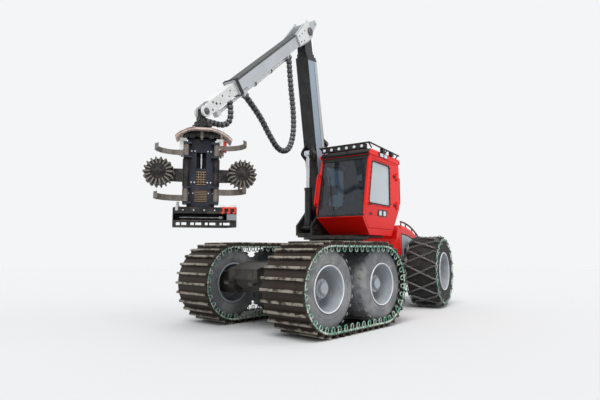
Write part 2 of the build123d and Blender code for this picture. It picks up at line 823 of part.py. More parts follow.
def lift_line():
    """Rest length and angle of the lift cylinder, in the upper's frame."""
    a, o = LIFT_BOOM_PIN
    t = math.radians(BOOM_A)
    u = FOOT[0] + a * math.cos(t) - o * math.sin(t)
    z = FOOT[1] + a * math.sin(t) + o * math.cos(t)
    du = u - LIFT_PIN[0]
    dz = z - LIFT_PIN[1]
    return math.hypot(du, dz), math.degrees(math.atan2(dz, du))


def crank_pin():
    """Rod eye of the jib cylinder, in the boom's link frame."""
    t = math.radians(CRANK_ANGLE)
    return (BOOM_L + CRANK_R * math.cos(t), CRANK_R * math.sin(t))


def jib_line():
    """Rest length and angle of the jib cylinder, in the boom's link frame."""
    a, o = crank_pin()
    da = a - JIB_CYL_PIN[0]
    do = o - JIB_CYL_PIN[1]
    return math.hypot(da, do), math.degrees(math.atan2(do, da))


def lift_barrel():
    barrel = disc_x(0, 0, 75, 90, 850)
    barrel += eye(0, 0, 72, -80, 80, 38.5)
    barrel += block(60, 140, -60, 60, -60, 60)
    barrel += disc_x(0, 0, 86, 800, 850)
    barrel -= disc_y(0, 0, 38.5, -90, 90)
    return barrel - disc_x(0, 0, 45 + RUN, 150, 900)


def lift_rod():
    length = lift_line()[0]
    piece = disc_x(0, 0, 45, length - 920, length - 50)
    return piece + disc_y(length, 0, 68, -66, 66)


def jib_barrel():
    barrel = disc_x(0, 0, 62, 80, 1450)
    barrel += eye(0, 0, 60, -70, 70, 32.5)
    barrel += block(50, 120, -50, 50, -50, 50)
    barrel += disc_x(0, 0, 72, 1405, 1450)
    barrel -= disc_y(0, 0, 32.5, -90, 90)
    return barrel - disc_x(0, 0, 35 + RUN, 130, 1500)


def jib_rod():
    length = jib_line()[0]
    piece = disc_x(0, 0, 35, length - 1700, length - 45)
    return piece + disc_y(length, 0, 56, -60, 60)


def jib():
    """Link frame from the elbow pin: knuckle cheeks, box and hose brackets."""
    turn = math.radians(BOOM_A - JIB_A)
    a, o = CRANK_R * math.cos(math.radians(CRANK_ANGLE)), CRANK_R * math.sin(
        math.radians(CRANK_ANGLE)
    )
    crank = (
        a * math.cos(turn) - o * math.sin(turn),
        a * math.sin(turn) + o * math.cos(turn),
    )
    cheek = [
        (crank[0] - 70, crank[1] - 40),
        (crank[0] - 40, crank[1] + 60),
        (crank[0] + 70, crank[1] + 70),
        (120, 210),
        (560, JIB_H + 12),
        (560, -JIB_H - 12),
        (150, -160),
        (-60, -130),
        (-130, -60),
    ]
    body = prism_y(cheek, 112, 150) + prism_y(cheek, -150, -112)
    body -= disc_y(0, 0, 48 + RUN, -200, 200)
    tube_box = block(400, JIB_BOX_END, -120, 120, -JIB_H, JIB_H)
    tube_box -= block(430, JIB_BOX_END + 10, -106, 106, -JIB_H + 14, JIB_H - 14)
    lip = block(JIB_BOX_END - 60, JIB_BOX_END, -110, 110, -JIB_H + 10, JIB_H - 10)
    run = (95 + RUN, EXT_H + RUN)
    tube_box += lip - block(2800, 3000, -run[0], run[0], -run[1], run[1])
    collar = block(JIB_BOX_END - 60, JIB_BOX_END, -138, 138, -JIB_H - 18, JIB_H + 18)
    collar -= block(2800, 3000, -run[0], run[0], -run[1], run[1])
    body += tube_box + collar
    for side in (-1, 1):
        y0, y1 = sorted((side * 66, side * 165))
        body += disc_y(crank[0], crank[1], 32, y0, y1)
    body += block(2740, 2860, 54, 126, -JIB_H - 95, -JIB_H + 1)
    body += block(990, 1110, 54, 126, -JIB_H - 75, -JIB_H + 1)
    return body


def stroke_barrel():
    """Extension cylinder under the jib box."""
    barrel = disc_x(0, STROKE_Z, 42, 1050, 2330)
    barrel += block(1050, 1140, -40, 40, STROKE_Z, -JIB_H)
    barrel += block(2200, 2290, -40, 40, STROKE_Z, -JIB_H)
    return barrel - disc_x(0, STROKE_Z, 27 + RUN, 1100, 2400)


def extension():
    """Inner boom with its stroke rod, drawn in the jib's link frame."""
    slide = JIB_H - 14 - RUN
    box = block(470, 3640, -95, 95, -EXT_H, EXT_H)
    box += block(470, 620, -106 + RUN, 106 - RUN, -slide, slide)
    box -= block(460, 3600, -83, 83, -EXT_H + 12, EXT_H - 12)
    nose = [(3600, -EXT_H), (3600, EXT_H), (3760, 92), (3850, 75), (3850, -75), (3760, -92)]
    box += prism_y(nose, -95, -60) + prism_y(nose, 60, 95)
    box += disc_y(JIB_L, 0, 92, -95, -60) + disc_y(JIB_L, 0, 92, 60, 95)
    box += disc_y(JIB_L, 0, 30, -110, 110)
    box += rod((1150, 0, STROKE_Z), (3560, 0, STROKE_Z), 27)
    box += block(3520, 3600, -50, 50, STROKE_Z - 40, -EXT_H + 2)
    box += block(3180, 3260, 40, 94, -EXT_H - 40, -EXT_H + 2)
    return box


# Tip and rotator
def tip_link():
    """Hanging frame: origin under the tip pin, z is height."""
    body = block(-45, 45, -52, 52, PIN_TIP_Z - 75, PIN_TIP_Z + 45)
    body -= disc_y(0, PIN_TIP_Z, 30.5, -60, 60)
    body += block(-40, 40, -34, 34, CROSS_PIN_Z - 28, PIN_TIP_Z - 70)
    body -= disc_x(0, CROSS_PIN_Z, 22.5, -60, 60)
    return body


def rotator():
    body = disc_z(0, 0, 125, ROTATOR_Z0 + 6, ROTATOR_Z0 + 115)
    for u0 in (-80, 48):
        body += block(u0, u0 + 32, -45, 45, ROTATOR_Z0 + 100, CROSS_PIN_Z + 35)
    body += disc_x(0, CROSS_PIN_Z, 22, -84, 84)
    body -= disc_z(0, 0, SHAFT_R + RUN, ROTATOR_Z0, ROTATOR_Z0 + 56)
    for y0 in (-175, 115):
        body += block(-45, 45, y0, y0 + 60, ROTATOR_Z0 + 30, ROTATOR_Z0 + 95)
    return body


HEAD_COVER = [
    (-400, 3085),
    (-330, 3150),
    (-200, 3215),
    (-100, ROTATOR_Z0),
    (140, ROTATOR_Z0),
    (260, 3205),
    (400, 3130),
    (470, 3060),
    (452, 3042),
    (385, 3108),
    (250, 3178),
    (140, 3205),
    (-100, 3205),
    (-205, 3186),
    (-318, 3124),
    (-384, 3064),
]


def tilt_frame():
    """Head frame: x to the open side, y to its left, z is height."""
    body = prism_x(HEAD_COVER, -200, 170)
    leg = [(-200, 3160), (70, 3160), (-50, 2850), (-95, 2820), (-165, 2820), (-200, 2860)]
    body += prism_y(leg, 290, 320) + prism_y(leg, -320, -290)
    body += disc_y(TILT_PIN[0], TILT_PIN[1], 35, -336, -180)
    body += disc_y(TILT_PIN[0], TILT_PIN[1], 35, 180, 336)
    return body + disc_z(0, 0, SHAFT_R, ROTATOR_Z0 - 5, ROTATOR_Z0 + 50)


def head_frame():
    spine = block(-330, -60, -215, 215, 2010, 3060)
    spine -= block(-250, -50, -80, 80, 2090, 2960)
    spine -= disc_y(TILT_PIN[0], TILT_PIN[1], 35 + RUN, -230, -174)
    spine -= disc_y(TILT_PIN[0], TILT_PIN[1], 35 + RUN, 174, 230)
    for side in (-1, 1):
        y0, y1 = sorted((side * 150, side * 275))
        for z0, z1 in ((2985, 3020), (2770, 2800), (2290, 2320), (2050, 2080)):
            spine += block(-130, 110, y0, y1, z0, z1)
        y = side * KNIFE_PIVOT[1]
        spine += disc_z(KNIFE_PIVOT[0], y, 22, 2790, 2990)
        spine += disc_z(KNIFE_PIVOT[0], y, 22, 2075, 2300)
        spine += disc_z(ARM_PIVOT[0], side * ARM_PIVOT[1], 24, 2310, 2780)
    return spine


def saw_box():
    plan = [(-330, -420), (-330, 420), (-120, 560), (60, 560), (60, -300), (-60, -420)]
    box = prism_z(plan, 1700, 2005)
    box -= prism_z(
        [(-300, -390), (-300, 390), (-110, 530), (80, 530), (80, -330), (-40, -405)],
        1800,
        1905,
    )
    for y in (-375, -150, 75, 300):
        box -= block(-340, 100, y, y + 170, 1722, 1785)
    box += disc_z(SAW_PIVOT[0], SAW_PIVOT[1], 40, 1790, 1830)
    box += block(-250, -140, -150, 150, 2004, 2010)
    return box + disc_z(SAW_PIVOT[0], SAW_PIVOT[1], SAW_PIN_R, 1790, 1880)


def saw_bar():
    bar = prism_z([(-40, -38), (-40, 38), (30, 45), (30, -45)], 1840, 1862)
    blade = prism_z([(-42, 0), (42, 0), (30, -640), (0, -670), (-30, -640)], 1845, 1857)
    hub = disc_z(0, 0, 60, 1836, 1870)
    bar = bar + blade + hub - disc_z(0, 0, SAW_PIN_R + RUN, 1830, 1880)
    return Pos(SAW_PIVOT[0], SAW_PIVOT[1], 0) * bar


def feed_arm():
    """Left arm, hinged on the frame, ending in the roller's motor."""
    px, py = ARM_PIVOT
    rx, ry = ROLLER_AT
    hub = disc_z(px, py, 50, 2330, 2760)
    arm = prism_z(
        [(px - 55, py + 5), (px + 35, py - 15), (rx - 165, ry - 60), (rx - 165, ry + 60)],
        ROLLER_Z - 100,
        ROLLER_Z + 100,
    )
    back = block(rx - 240, rx - 165, ry - 75, ry + 75, ROLLER_Z - 100, ROLLER_Z + 100)
    motor = disc_x(ry, ROLLER_Z, 70, rx - 200, rx - 120)
    shaft = disc_x(ry, ROLLER_Z, SHAFT_R, rx - 121, rx - 70)
    arm = hub + arm + back + motor + shaft
    return arm - disc_z(px, py, 24 + RUN, 2320, 2770)


def feed_roller():
    rx, ry = ROLLER_AT
    ridged = []
    for i in range(ROLLER_RIDGES):
        ridge = ((-0.3, ROLLER_ROOT_R), (-0.1, ROLLER_R), (0.1, ROLLER_R), (0.3, ROLLER_ROOT_R))
        for turn, radius in ridge:
            a = 2 * math.pi * (i + turn) / ROLLER_RIDGES
            ridged.append((radius * math.cos(a), radius * math.sin(a)))
    drum = Pos(0, ry, ROLLER_Z) * prism_x(ridged, rx - 114, rx + 150)
    drum -= disc_x(ry, ROLLER_Z, 110, rx + 90, rx + 151)
    drum += disc_x(ry, ROLLER_Z, 60, rx + 85, rx + 160)
    return drum - disc_x(ry, ROLLER_Z, SHAFT_R + RUN, rx - 120, rx - 64)


def knife(z0, z1, hub_z0, hub_z1):
    """Left curved knife, open, on its upright pin."""
    px, py = KNIFE_PIVOT
    cx, cy = 385.0, 330.0
    outer = []
    inner = []
    for i in range(9):
        a = math.radians(196 - i * 17)
        grow = 0.0 if i < 8 else -22.0
        outer.append((cx + (345 + grow) * math.cos(a), cy + (345 + grow) * math.sin(a)))
        inner.append((cx + 318 * math.cos(a), cy + 318 * math.sin(a)))
    blade = prism_z(outer + inner[::-1], z0, z1)
    hub = disc_z(px, py, 46, hub_z0, hub_z1)
    web = prism_z([(px - 35, py), (px, py - 38), (cx - 300, cy - 80), (cx - 300, cy + 90)], z0, z1)
    piece = blade + hub + web
    return piece - disc_z(px, py, 22 + RUN, hub_z0 - 5, hub_z1 + 5)


# Hoses
def boom_hose():
    """Loop under the jib, in the upper's frame (u, z at the crane's plane)."""
    points = [
        (1182, 5205),
        (1120, 4640),
        (1010, 4110),
        (1010, 3640),
        (1180, 3290),
        (1500, 3230),
        (1800, 3470),
        (2110, 3800),
        (2490, 4030),
    ]
    path = [(u, CRANE_Y + HOSE_Y, z) for u, z in points]
    bends = hose_bends(path)
    print("boom hose bends", [round(r) for r in bends])
    line = FilletPolyline(*path, radius=bends)
    hose = sweep(Plane(origin=line @ 0, z_dir=line % 0) * Circle(HOSE_R), path=line)
    print("boom hose length", round(line.length), "volume ratio",
          round(hose.volume / (math.pi * HOSE_R**2 * line.length), 4))
    return hose


def hose_bends(path):
    """Radius at each inner point: as large as its two runs allow."""
    bends = []
    for a, b, c in zip(path, path[1:], path[2:]):
        before = Vector(*b) - Vector(*a)
        after = Vector(*c) - Vector(*b)
        half = math.radians(before.get_angle(after)) / 2
        bends.append(0.45 * min(before.length, after.length) / math.tan(half))
    return bends


# Assembly
def rear_wheel(shape, side):
    at = Pos(REAR_AXLE_X, side * WHEEL_Y, REAR_AXLE_Z)
    return at * (shape if side > 0 else mirrored(shape))


def nodes():
    parts = {}
    parts["front_frame"] = FRONT * front_frame()
    parts["turntable_base"] = FRONT * turntable_base()
    left = {
        "bogie_case": bogie_case(),
        "front_rims": front_rims(),
        "front_tyres": front_tyres(),
        "track": track(),
    }
    for name, shape in left.items():
        parts[name + "_left"] = FRONT * shape
        parts[name + "_right"] = FRONT * mirrored(shape)
    parts["rear_frame"] = REAR * rear_frame()
    parts["engine_block"] = REAR * engine_block()
    parts["engine_bay_panels"] = REAR * engine_bay_panels()
    parts["front_cowl"] = REAR * front_cowl()
    parts["hood"] = REAR * hood()
    wheel = {
        "rear_tyre": rear_tyre(),
        "rear_chain": rear_chain() - rear_tyre(),
        "rear_rim": rear_rim(),
    }
    for name, shape in wheel.items():
        parts[name + "_left"] = REAR * rear_wheel(shape, 1)
        parts[name + "_right"] = REAR * rear_wheel(shape, -1)
    upper = {
        "slew_platform": slew_platform,
        "crane_base": crane_base,
        "cab_shell": cab_shell,
        "cab_roof": cab_roof,
        "cab_glass": cab_glass,
        "cab_seat": cab_seat,
        "cab_console": cab_console,
        "roof_guard": roof_guard,
        "cab_handrails": cab_handrails,
        "cab_door": cab_door,
        "door_glass": door_glass,
        "boom_hose": boom_hose,
    }
    for name, make in upper.items():
        parts[name] = SUPER * make()
    parts["main_boom"] = BOOM * main_boom()
    lift_at = SUPER * link_frame(LIFT_PIN, lift_line()[1])
    parts["lift_barrel"] = lift_at * lift_barrel()
    parts["lift_rod"] = lift_at * lift_rod()
    jib_cyl_at = BOOM * Pos(JIB_CYL_PIN[0], 0, JIB_CYL_PIN[1]) * Rot(0, -jib_line()[1], 0)
    parts["jib_barrel"] = jib_cyl_at * jib_barrel()
    parts["jib_rod"] = jib_cyl_at * jib_rod()
    parts["jib"] = JIB * jib()
    parts["stroke_barrel"] = JIB * stroke_barrel()
    parts["extension"] = JIB * extension()
    parts["tip_link"] = HANG * tip_link()
    parts["rotator"] = HANG * rotator()
    parts["tilt_frame"] = HEAD * tilt_frame()
    parts["head_frame"] = HEAD * head_frame()
    parts["saw_box"] = HEAD * saw_box()
    parts["saw_bar"] = HEAD * saw_bar()
    pairs = {
        "feed_arm": (feed_arm(), feed_arm()),
        "feed_roller": (feed_roller(), feed_roller()),
        "upper_knife": (knife(2900, 2975, 2806, 2979), knife(2810, 2885, 2806, 2979)),
        "lower_knife": (knife(2190, 2280, 2086, 2284), knife(2092, 2182, 2086, 2284)),
    }
    for name, (one, other) in pairs.items():
        parts[name + "_left"] = HEAD * one
        parts[name + "_right"] = HEAD * mirrored(other)
    parts["boom_hose"] = parts["boom_hose"] - parts["jib"]
    return parts


def main():
    os.makedirs("parts", exist_ok=True)
    parts = nodes()
    boxes = []
    for name, shape in parts.items():
        export_step(shape, "parts/" + name + ".step")
        boxes.append(shape.bounding_box())
    low = [min(b.min.X for b in boxes), min(b.min.Y for b in boxes), min(b.min.Z for b in boxes)]
    high = [max(b.max.X for b in boxes), max(b.max.Y for b in boxes), max(b.max.Z for b in boxes)]
    print("low", [round(v, 1) for v in low], "high", [round(v, 1) for v in high])
    print("middle", round((low[0] + high[0]) / 2, 2), round((low[1] + high[1]) / 2, 2))


if __name__ == "__main__":
    main()
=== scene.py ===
"""Looks of the forestry harvester: its paint, rubber, glass, hoses and small fittings."""
import math

import bmesh
import bpy
from mathutils import Matrix, Vector


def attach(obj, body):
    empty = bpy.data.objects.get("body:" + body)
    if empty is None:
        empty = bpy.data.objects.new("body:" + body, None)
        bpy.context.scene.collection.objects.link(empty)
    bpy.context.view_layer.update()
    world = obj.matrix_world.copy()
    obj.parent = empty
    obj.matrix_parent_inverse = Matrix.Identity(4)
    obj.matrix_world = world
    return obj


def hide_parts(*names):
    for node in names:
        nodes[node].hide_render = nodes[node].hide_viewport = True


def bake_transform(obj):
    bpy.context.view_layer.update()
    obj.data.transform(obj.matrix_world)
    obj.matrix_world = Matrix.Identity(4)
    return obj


# Frame
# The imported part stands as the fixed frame. Its solids are painted here, and the fittings
# that they leave out are fixed to the body that carries them on the real machine.
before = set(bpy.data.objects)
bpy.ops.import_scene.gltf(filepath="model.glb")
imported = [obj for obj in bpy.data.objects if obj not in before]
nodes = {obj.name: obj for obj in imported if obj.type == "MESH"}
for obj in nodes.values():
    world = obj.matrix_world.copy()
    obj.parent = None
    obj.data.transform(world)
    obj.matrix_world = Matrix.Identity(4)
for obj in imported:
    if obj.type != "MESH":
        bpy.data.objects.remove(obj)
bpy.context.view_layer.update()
scene = bpy.context.scene
scene.view_settings.view_transform = "Standard"


# Camera
# A wide lens low in front of the left track, at the angle from which the machine is seen.
CAMERA_AT = (7.674, 6.218, 1.345)
CAMERA_TURN = (96.1, 0.0, 131.9)
LENS_MM = 28.0
SENSOR_MM = 36.0


def stand(name, data, turn=(0, 0, 0), at=(0, 0, 0)):
    """A camera, a lamp or the floor in the scene, turned by degrees."""
    thing = bpy.data.objects.new(name, data)
    scene.collection.objects.link(thing)
    thing.rotation_euler = [math.radians(angle) for angle in turn]
    thing.location = at
    return thing


lens = bpy.data.cameras.new("camera")
lens.lens = LENS_MM
lens.sensor_width = SENSOR_MM
scene.camera = stand("camera", lens, CAMERA_TURN, CAMERA_AT)


# Floor and light
# A pale studio floor under an even white surround, with one wide soft lamp high in front
# and a weaker one from the open side, so that paint shows about as it is mixed.
FLOOR_COLOUR = "#d4d5d6"
FLOOR_HALF = 30.0
FLOOR_Z = -0.002
SURROUND_COLOUR = "#f4f5f6"
SURROUND_LIGHT = 0.62
LAMPS = (("key lamp", (38.0, 0.0, 118.0), 2.6), ("fill lamp", (62.0, 0.0, 215.0), 0.7))
LAMP_SPREAD = 35.0


def linear(code):
    """An sRGB hex code as the linear colour that a shader takes."""
    parts = [int(code[i : i + 2], 16) / 255 for i in (1, 3, 5)]
    parts = [c / 12.92 if c <= 0.04045 else ((c + 0.055) / 1.055) ** 2.4 for c in parts]
    return (*parts, 1.0)


def put(tree, kind, sockets=None, **settings):
    """A node with its settings, its sockets set to a value or linked to an output."""
    node = tree.nodes.new(kind)
    for key, value in settings.items():
        setattr(node, key, value)
    for key, value in (sockets or {}).items():
        if isinstance(value, bpy.types.NodeSocket):
            tree.links.new(value, node.inputs[key])
        else:
            node.inputs[key].default_value = value
    return node


def plain(name, colour, **settings):
    """An even finish, such as clean glass, with its shader's settings in words."""
    made = bpy.data.materials.new(name)
    made.use_nodes = True
    sockets = made.node_tree.nodes["Principled BSDF"].inputs
    sockets["Base Color"].default_value = linear(colour)
    for key, value in settings.items():
        sockets[key.replace("_", " ")].default_value = value
    return made


world = bpy.data.worlds.new("surround")
scene.world = world
world.use_nodes = True
tree = world.node_tree
light = tree.nodes["Background"]
light.inputs["Color"].default_value = linear(SURROUND_COLOUR)
light.inputs["Strength"].default_value = SURROUND_LIGHT
seen = put(tree, "ShaderNodeBackground", {"Color": linear(SURROUND_COLOUR), "Strength": 1.0})
ray = put(tree, "ShaderNodeLightPath")
direct = ray.outputs["Is Camera Ray"]
for other in ("Is Glossy Ray", "Is Transmission Ray"):
    pair = {0: direct, 1: ray.outputs[other]}
    direct = put(tree, "ShaderNodeMath", pair, operation="MAXIMUM").outputs[0]
either = put(tree, "ShaderNodeMixShader", {0: direct, 1: light.outputs[0], 2: seen.outputs[0]})
tree.links.new(either.outputs[0], tree.nodes["World Output"].inputs["Surface"])

for name, turn, strength in LAMPS:
    lamp = bpy.data.lights.new(name, "SUN")
    lamp.energy = strength
    lamp.angle = math.radians(LAMP_SPREAD)
    stand(name, lamp, turn)

sheet = bpy.data.meshes.new("floor")
corners = [(FLOOR_HALF * x, FLOOR_HALF * y, 0) for x, y in ((-1, -1), (1, -1), (1, 1), (-1, 1))]
sheet.from_pydata(corners, [], [(0, 1, 2, 3)])
sheet.materials.append(plain("studio floor", FLOOR_COLOUR, Roughness=0.9))
stand("floor", sheet, at=(0, 0, FLOOR_Z))


# Front frame and turntable
# The front half of the chassis and the slewing ring on it: welded plate in satin black
# chassis paint, dulled by dry forest dust that lies thicker low down.
MM = 0.001
CHASSIS_BLACK = "#17181a"
DRY_DUST = "#6d675b"
# Dust lies thickest below the splash height and ends at its top height, in metres.
SPLASH = 0.1
DUST_TOP = 1.3
DUST_DULL = 0.85
PATCH_THIN = 0.42
PATCH_THICK = 0.72
# Paint has a fine orange peel, drawn in pits of 9 mm, coarser than real, so that it shows.
PIT = 9.0
PIT_DEPTH = 2.0
COAT_ROUGH = 0.08
FRONT_AT = (1204.16, 218.30, 0)
FRONT = Matrix.Translation(FRONT_AT)


def finish(
    name, colour, dust, cover, roughness, metal=0.0, coat=0.0, low=0.0, patch=200.0, shine=0.3
):
    """Paint, rubber or steel under dry dust in patches this wide in mm, thicker near the ground."""
    made = plain(name, colour, Roughness=roughness, Metallic=metal, Coat_Weight=coat)
    tree = made.node_tree
    sockets = tree.nodes["Principled BSDF"].inputs
    sockets["Specular IOR Level"].default_value = shine
    sockets["Coat Roughness"].default_value = COAT_ROUGH
    place = put(tree, "ShaderNodeTexCoord").outputs["Object"]
    patches = put(
        tree,
        "ShaderNodeTexNoise",
        {"Vector": place, "Scale": 1 / (patch * MM), "Detail": 6.0, "Roughness": 0.65},
    )
    spread = put(
        tree,
        "ShaderNodeMapRange",
        {"Value": patches.outputs[0], "From Min": PATCH_THIN, "From Max": PATCH_THICK, "To Max": cover},
    )
    high = put(tree, "ShaderNodeSeparateXYZ", {0: place}).outputs["Z"]
    rise = put(
        tree,
        "ShaderNodeMapRange",
        {"Value": high, "From Min": SPLASH, "From Max": DUST_TOP, "To Min": low, "To Max": 0.0},
    )
    lain = {0: spread.outputs[0], 1: rise.outputs[0]}
    share = put(tree, "ShaderNodeMath", lain, operation="ADD", use_clamp=True).outputs[0]
    tone = put(
        tree, "ShaderNodeMix", {0: share, 6: linear(colour), 7: linear(dust)}, data_type="RGBA"
    )
    dull = put(tree, "ShaderNodeMapRange", {"Value": share, "To Min": roughness, "To Max": DUST_DULL})
    pits = put(tree, "ShaderNodeTexNoise", {"Vector": place, "Scale": 1 / (PIT * MM), "Detail": 3.0})
    relief = {"Height": pits.outputs[0], "Strength": 0.12, "Distance": PIT_DEPTH * MM}
    bump = put(tree, "ShaderNodeBump", relief)
    tree.links.new(tone.outputs[2], sockets["Base Color"])
    tree.links.new(dull.outputs[0], sockets["Roughness"])
    tree.links.new(bump.outputs[0], sockets["Normal"])
    return made


def dress(material, *names):
    """Give solids of the frame their finish."""
    for name in names:
        mesh = nodes[name].data
        mesh.materials.clear()
        mesh.materials.append(material)


def box(x0, x1, y0, y1, z0, z1):
    """Block between two stations along each axis."""
    points = [(x, y, z) for z in (z0, z1) for y in (y0, y1) for x in (x0, x1)]
    return points, [(0, 2, 3, 1), (4, 5, 7, 6), (0, 1, 5, 4), (2, 6, 7, 3), (0, 4, 6, 2), (1, 3, 7, 5)]


def prism(outline, lift):
    """A closed outline of 3-D points pushed along a vector."""
    count = len(outline)
    top = [tuple(a + b for a, b in zip(point, lift)) for point in outline]
    sides = [(i, (i + 1) % count, (i + 1) % count + count, i + count) for i in range(count)]
    return [*outline, *top], [tuple(range(count))[::-1], tuple(range(count, 2 * count)), *sides]


def plate(outline, y0, y1):
    """Flat plate cut to an outline in x and z."""
    return prism([(x, y0, z) for x, z in outline], (0, y1 - y0, 0))


def slab(outline, z0, z1):
    """Flat plate cut to an outline in x and y."""
    return prism([(x, y, z0) for x, y in outline], (0, 0, z1 - z0))


def ring_faces(sides, count):
    """Faces of a closed section of so many corners carried round in so many steps."""
    faces = []
    for i in range(sides):
        j = (i + 1) % sides
        for k in range(count):
            m = (k + 1) % count
            faces.append((i * count + k, i * count + m, j * count + m, j * count + k))
    return faces


def turned(profile, centre=(0, 0, 0), axis=(0, 1, 0), sides=64):
    """A closed profile of (radius, place along the axis) spun round that axis."""
    lean = Vector((0, 1, 0)).rotation_difference(Vector(axis)).to_matrix()
    points = []
    for i in range(sides):
        a = 2 * math.pi * i / sides
        for radius, along in profile:
            spot = lean @ Vector((radius * math.cos(a), along, radius * math.sin(a)))
            points.append(tuple(spot + Vector(centre)))
    return points, ring_faces(sides, len(profile))


def rod(start, end, radius, sides=20):
    """Round bar between two points."""
    axis = Vector(end) - Vector(start)
    profile = [(0, 0), (radius, 0), (radius, axis.length), (0, axis.length)]
    return turned(profile, start, axis, sides)


def joined(shapes):
    """One mesh of several closed shapes, faces outwards, rounded faces shaded smooth."""
    work = bmesh.new()
    for points, faces in shapes:
        corners = [work.verts.new(point) for point in points]
        for face in faces:
            work.faces.new([corners[i] for i in face])
        bmesh.ops.remove_doubles(work, verts=corners, dist=0.01)
    bmesh.ops.recalc_face_normals(work, faces=work.faces)
    mesh = bpy.data.meshes.new("shape")
    work.to_mesh(mesh)
    work.free()
    mesh.polygons.foreach_set("use_smooth", [True] * len(mesh.polygons))
    mesh.set_sharp_from_angle(angle=math.radians(35))
    return mesh


def fit(name, shapes, material, place, body):
    """Fix shapes or a mesh, drawn in mm in their group's frame, to a body, or to none yet."""
    mesh = joined(shapes) if isinstance(shapes, list) else shapes
    mesh.transform(Matrix.Scale(MM, 4) @ place)
    mesh.name = name
    mesh.materials.clear()
    mesh.materials.append(material)
    piece = bpy.data.objects.new(name, mesh)
    scene.collection.objects.link(piece)
    if body:
        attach(piece, body)
    return piece


chassis = finish("satin black chassis paint", CHASSIS_BLACK, DRY_DUST, 0.35, 0.5, low=0.35)
dress(chassis, "front_frame", "turntable_base")

# Blackened bolt steel: dark grey with a soft metal shine, and oily dust around it.
bolt_steel = finish("dark bolt steel", "#55565a", "#3c352c", 0.4, 0.4, metal=0.8)
BOLT_HEAD = [(0, 0), (1, 0), (1, 0.7), (0.8, 0.9), (0, 0.9)]
RING_AT = (-1350, 0, 1262)
RING_R = 568
RING_BOLTS = 30


def bolt(centre, axis, size):
    """Six-sided bolt head."""
    profile = [(radius * size, along * size) for radius, along in BOLT_HEAD]
    return turned(profile, centre, axis, 6)


def spots_round(centre, radius, count, start=0.0):
    """Spots at equal steps round an upright axis."""
    x, y, z = centre
    angles = [2 * math.pi * i / count + start for i in range(count)]
    return [(x + radius * math.cos(a), y + radius * math.sin(a), z) for a in angles]


ring_bolts = [bolt(spot, (0, 0, 1), 14) for spot in spots_round(RING_AT, RING_R, RING_BOLTS)]
fit("turntable_bolts", ring_bolts, bolt_steel, FRONT, "front")

shapes = []
for side in (-1, 1):
    face = side * 396
    shapes.append(box(-1420, -640, side * 380, face, 700, 1080))
    for x in (-1340, -1180, -1020, -860, -700):
        shapes += [bolt((x, face, z), (0, side, 0), 15) for z in (1030, 750)]
    shapes.append(rod((1225, side * 200, 945), (1238, side * 200, 945), 62))
    shapes.append(rod((-1880, side * 170, 900), (-1500, side * 260, 900), 38))
shapes.append(box(760, 860, -330, 330, 1128, 1142))
shapes += [rod((700, y, 1131), (860, y, 1131), 6, 8) for y in range(-300, 301, 60)]
fit("frame_side_plates_and_step", shapes, chassis, FRONT, "front")


# Bogies and front wheels
# Each bogie is a cast gear case in black paint with two wheels. The tyres are grey with
# dust, on deep-dish pressed steel rims in light grey enamel with a bright rubbed lip.
AXLE_Z = 745.0
BOGIE_HALF = 750.0
WHEEL_Y = 1130.0
WALL_Y = 240.0
TREAD_R = 655
SHOULDER_R = 640
TREAD_LUGS = 26
RIM_BOLT = 15
TYRE_WALL = [
    (372, 325), (384, 342), (404, 349), (440, 349), (446, 354), (458, 354), (464, 350),
    (540, 352), (596, 334), (634, 292), (650, 240), (655, 150), (657, 0),
]
TYRE_PROFILE = TYRE_WALL + [(radius, -along) for radius, along in TYRE_WALL[-2::-1]]
RIM_PROFILE = [
    (371, 345), (364, 352), (352, 352), (343, 344), (339, 300), (332, 130), (316, 48),
    (292, 4), (150, -4), (150, -36), (300, -38), (339, -70), (342, -345), (371, -345),
]
HUB_PROFILE = [(0, 258), (84, 258), (96, 248), (100, 208), (146, 202), (154, 192), (156, 0), (0, -4)]
LIP_PROFILE = [(352, 348), (358, 358), (368, 358), (373, 348), (366, 344)]
TREAD_LUG = [box(-26, 26, -80, 80, -14, 11)]
SIDES = (("left", 1), ("right", -1))

dress(chassis, "bogie_case_left", "bogie_case_right")
# Carbon-black rubber gone grey: matt, and pale where dust has dried in wide patches.
tyre_rubber = finish("dusty grey tyre rubber", "#64666b", "#9c9b98", 0.8, 0.75, low=0.2, patch=312.5)
# Baked grey enamel with a low gloss; on the lip it is rubbed almost white.
rim_enamel = finish("light grey rim enamel", "#a4abb3", "#7c786f", 0.45, 0.38, low=0.18)
rim_lip = finish("rubbed bright rim lip", "#e4e6e8", "#a6a39a", 0.25, 0.3)


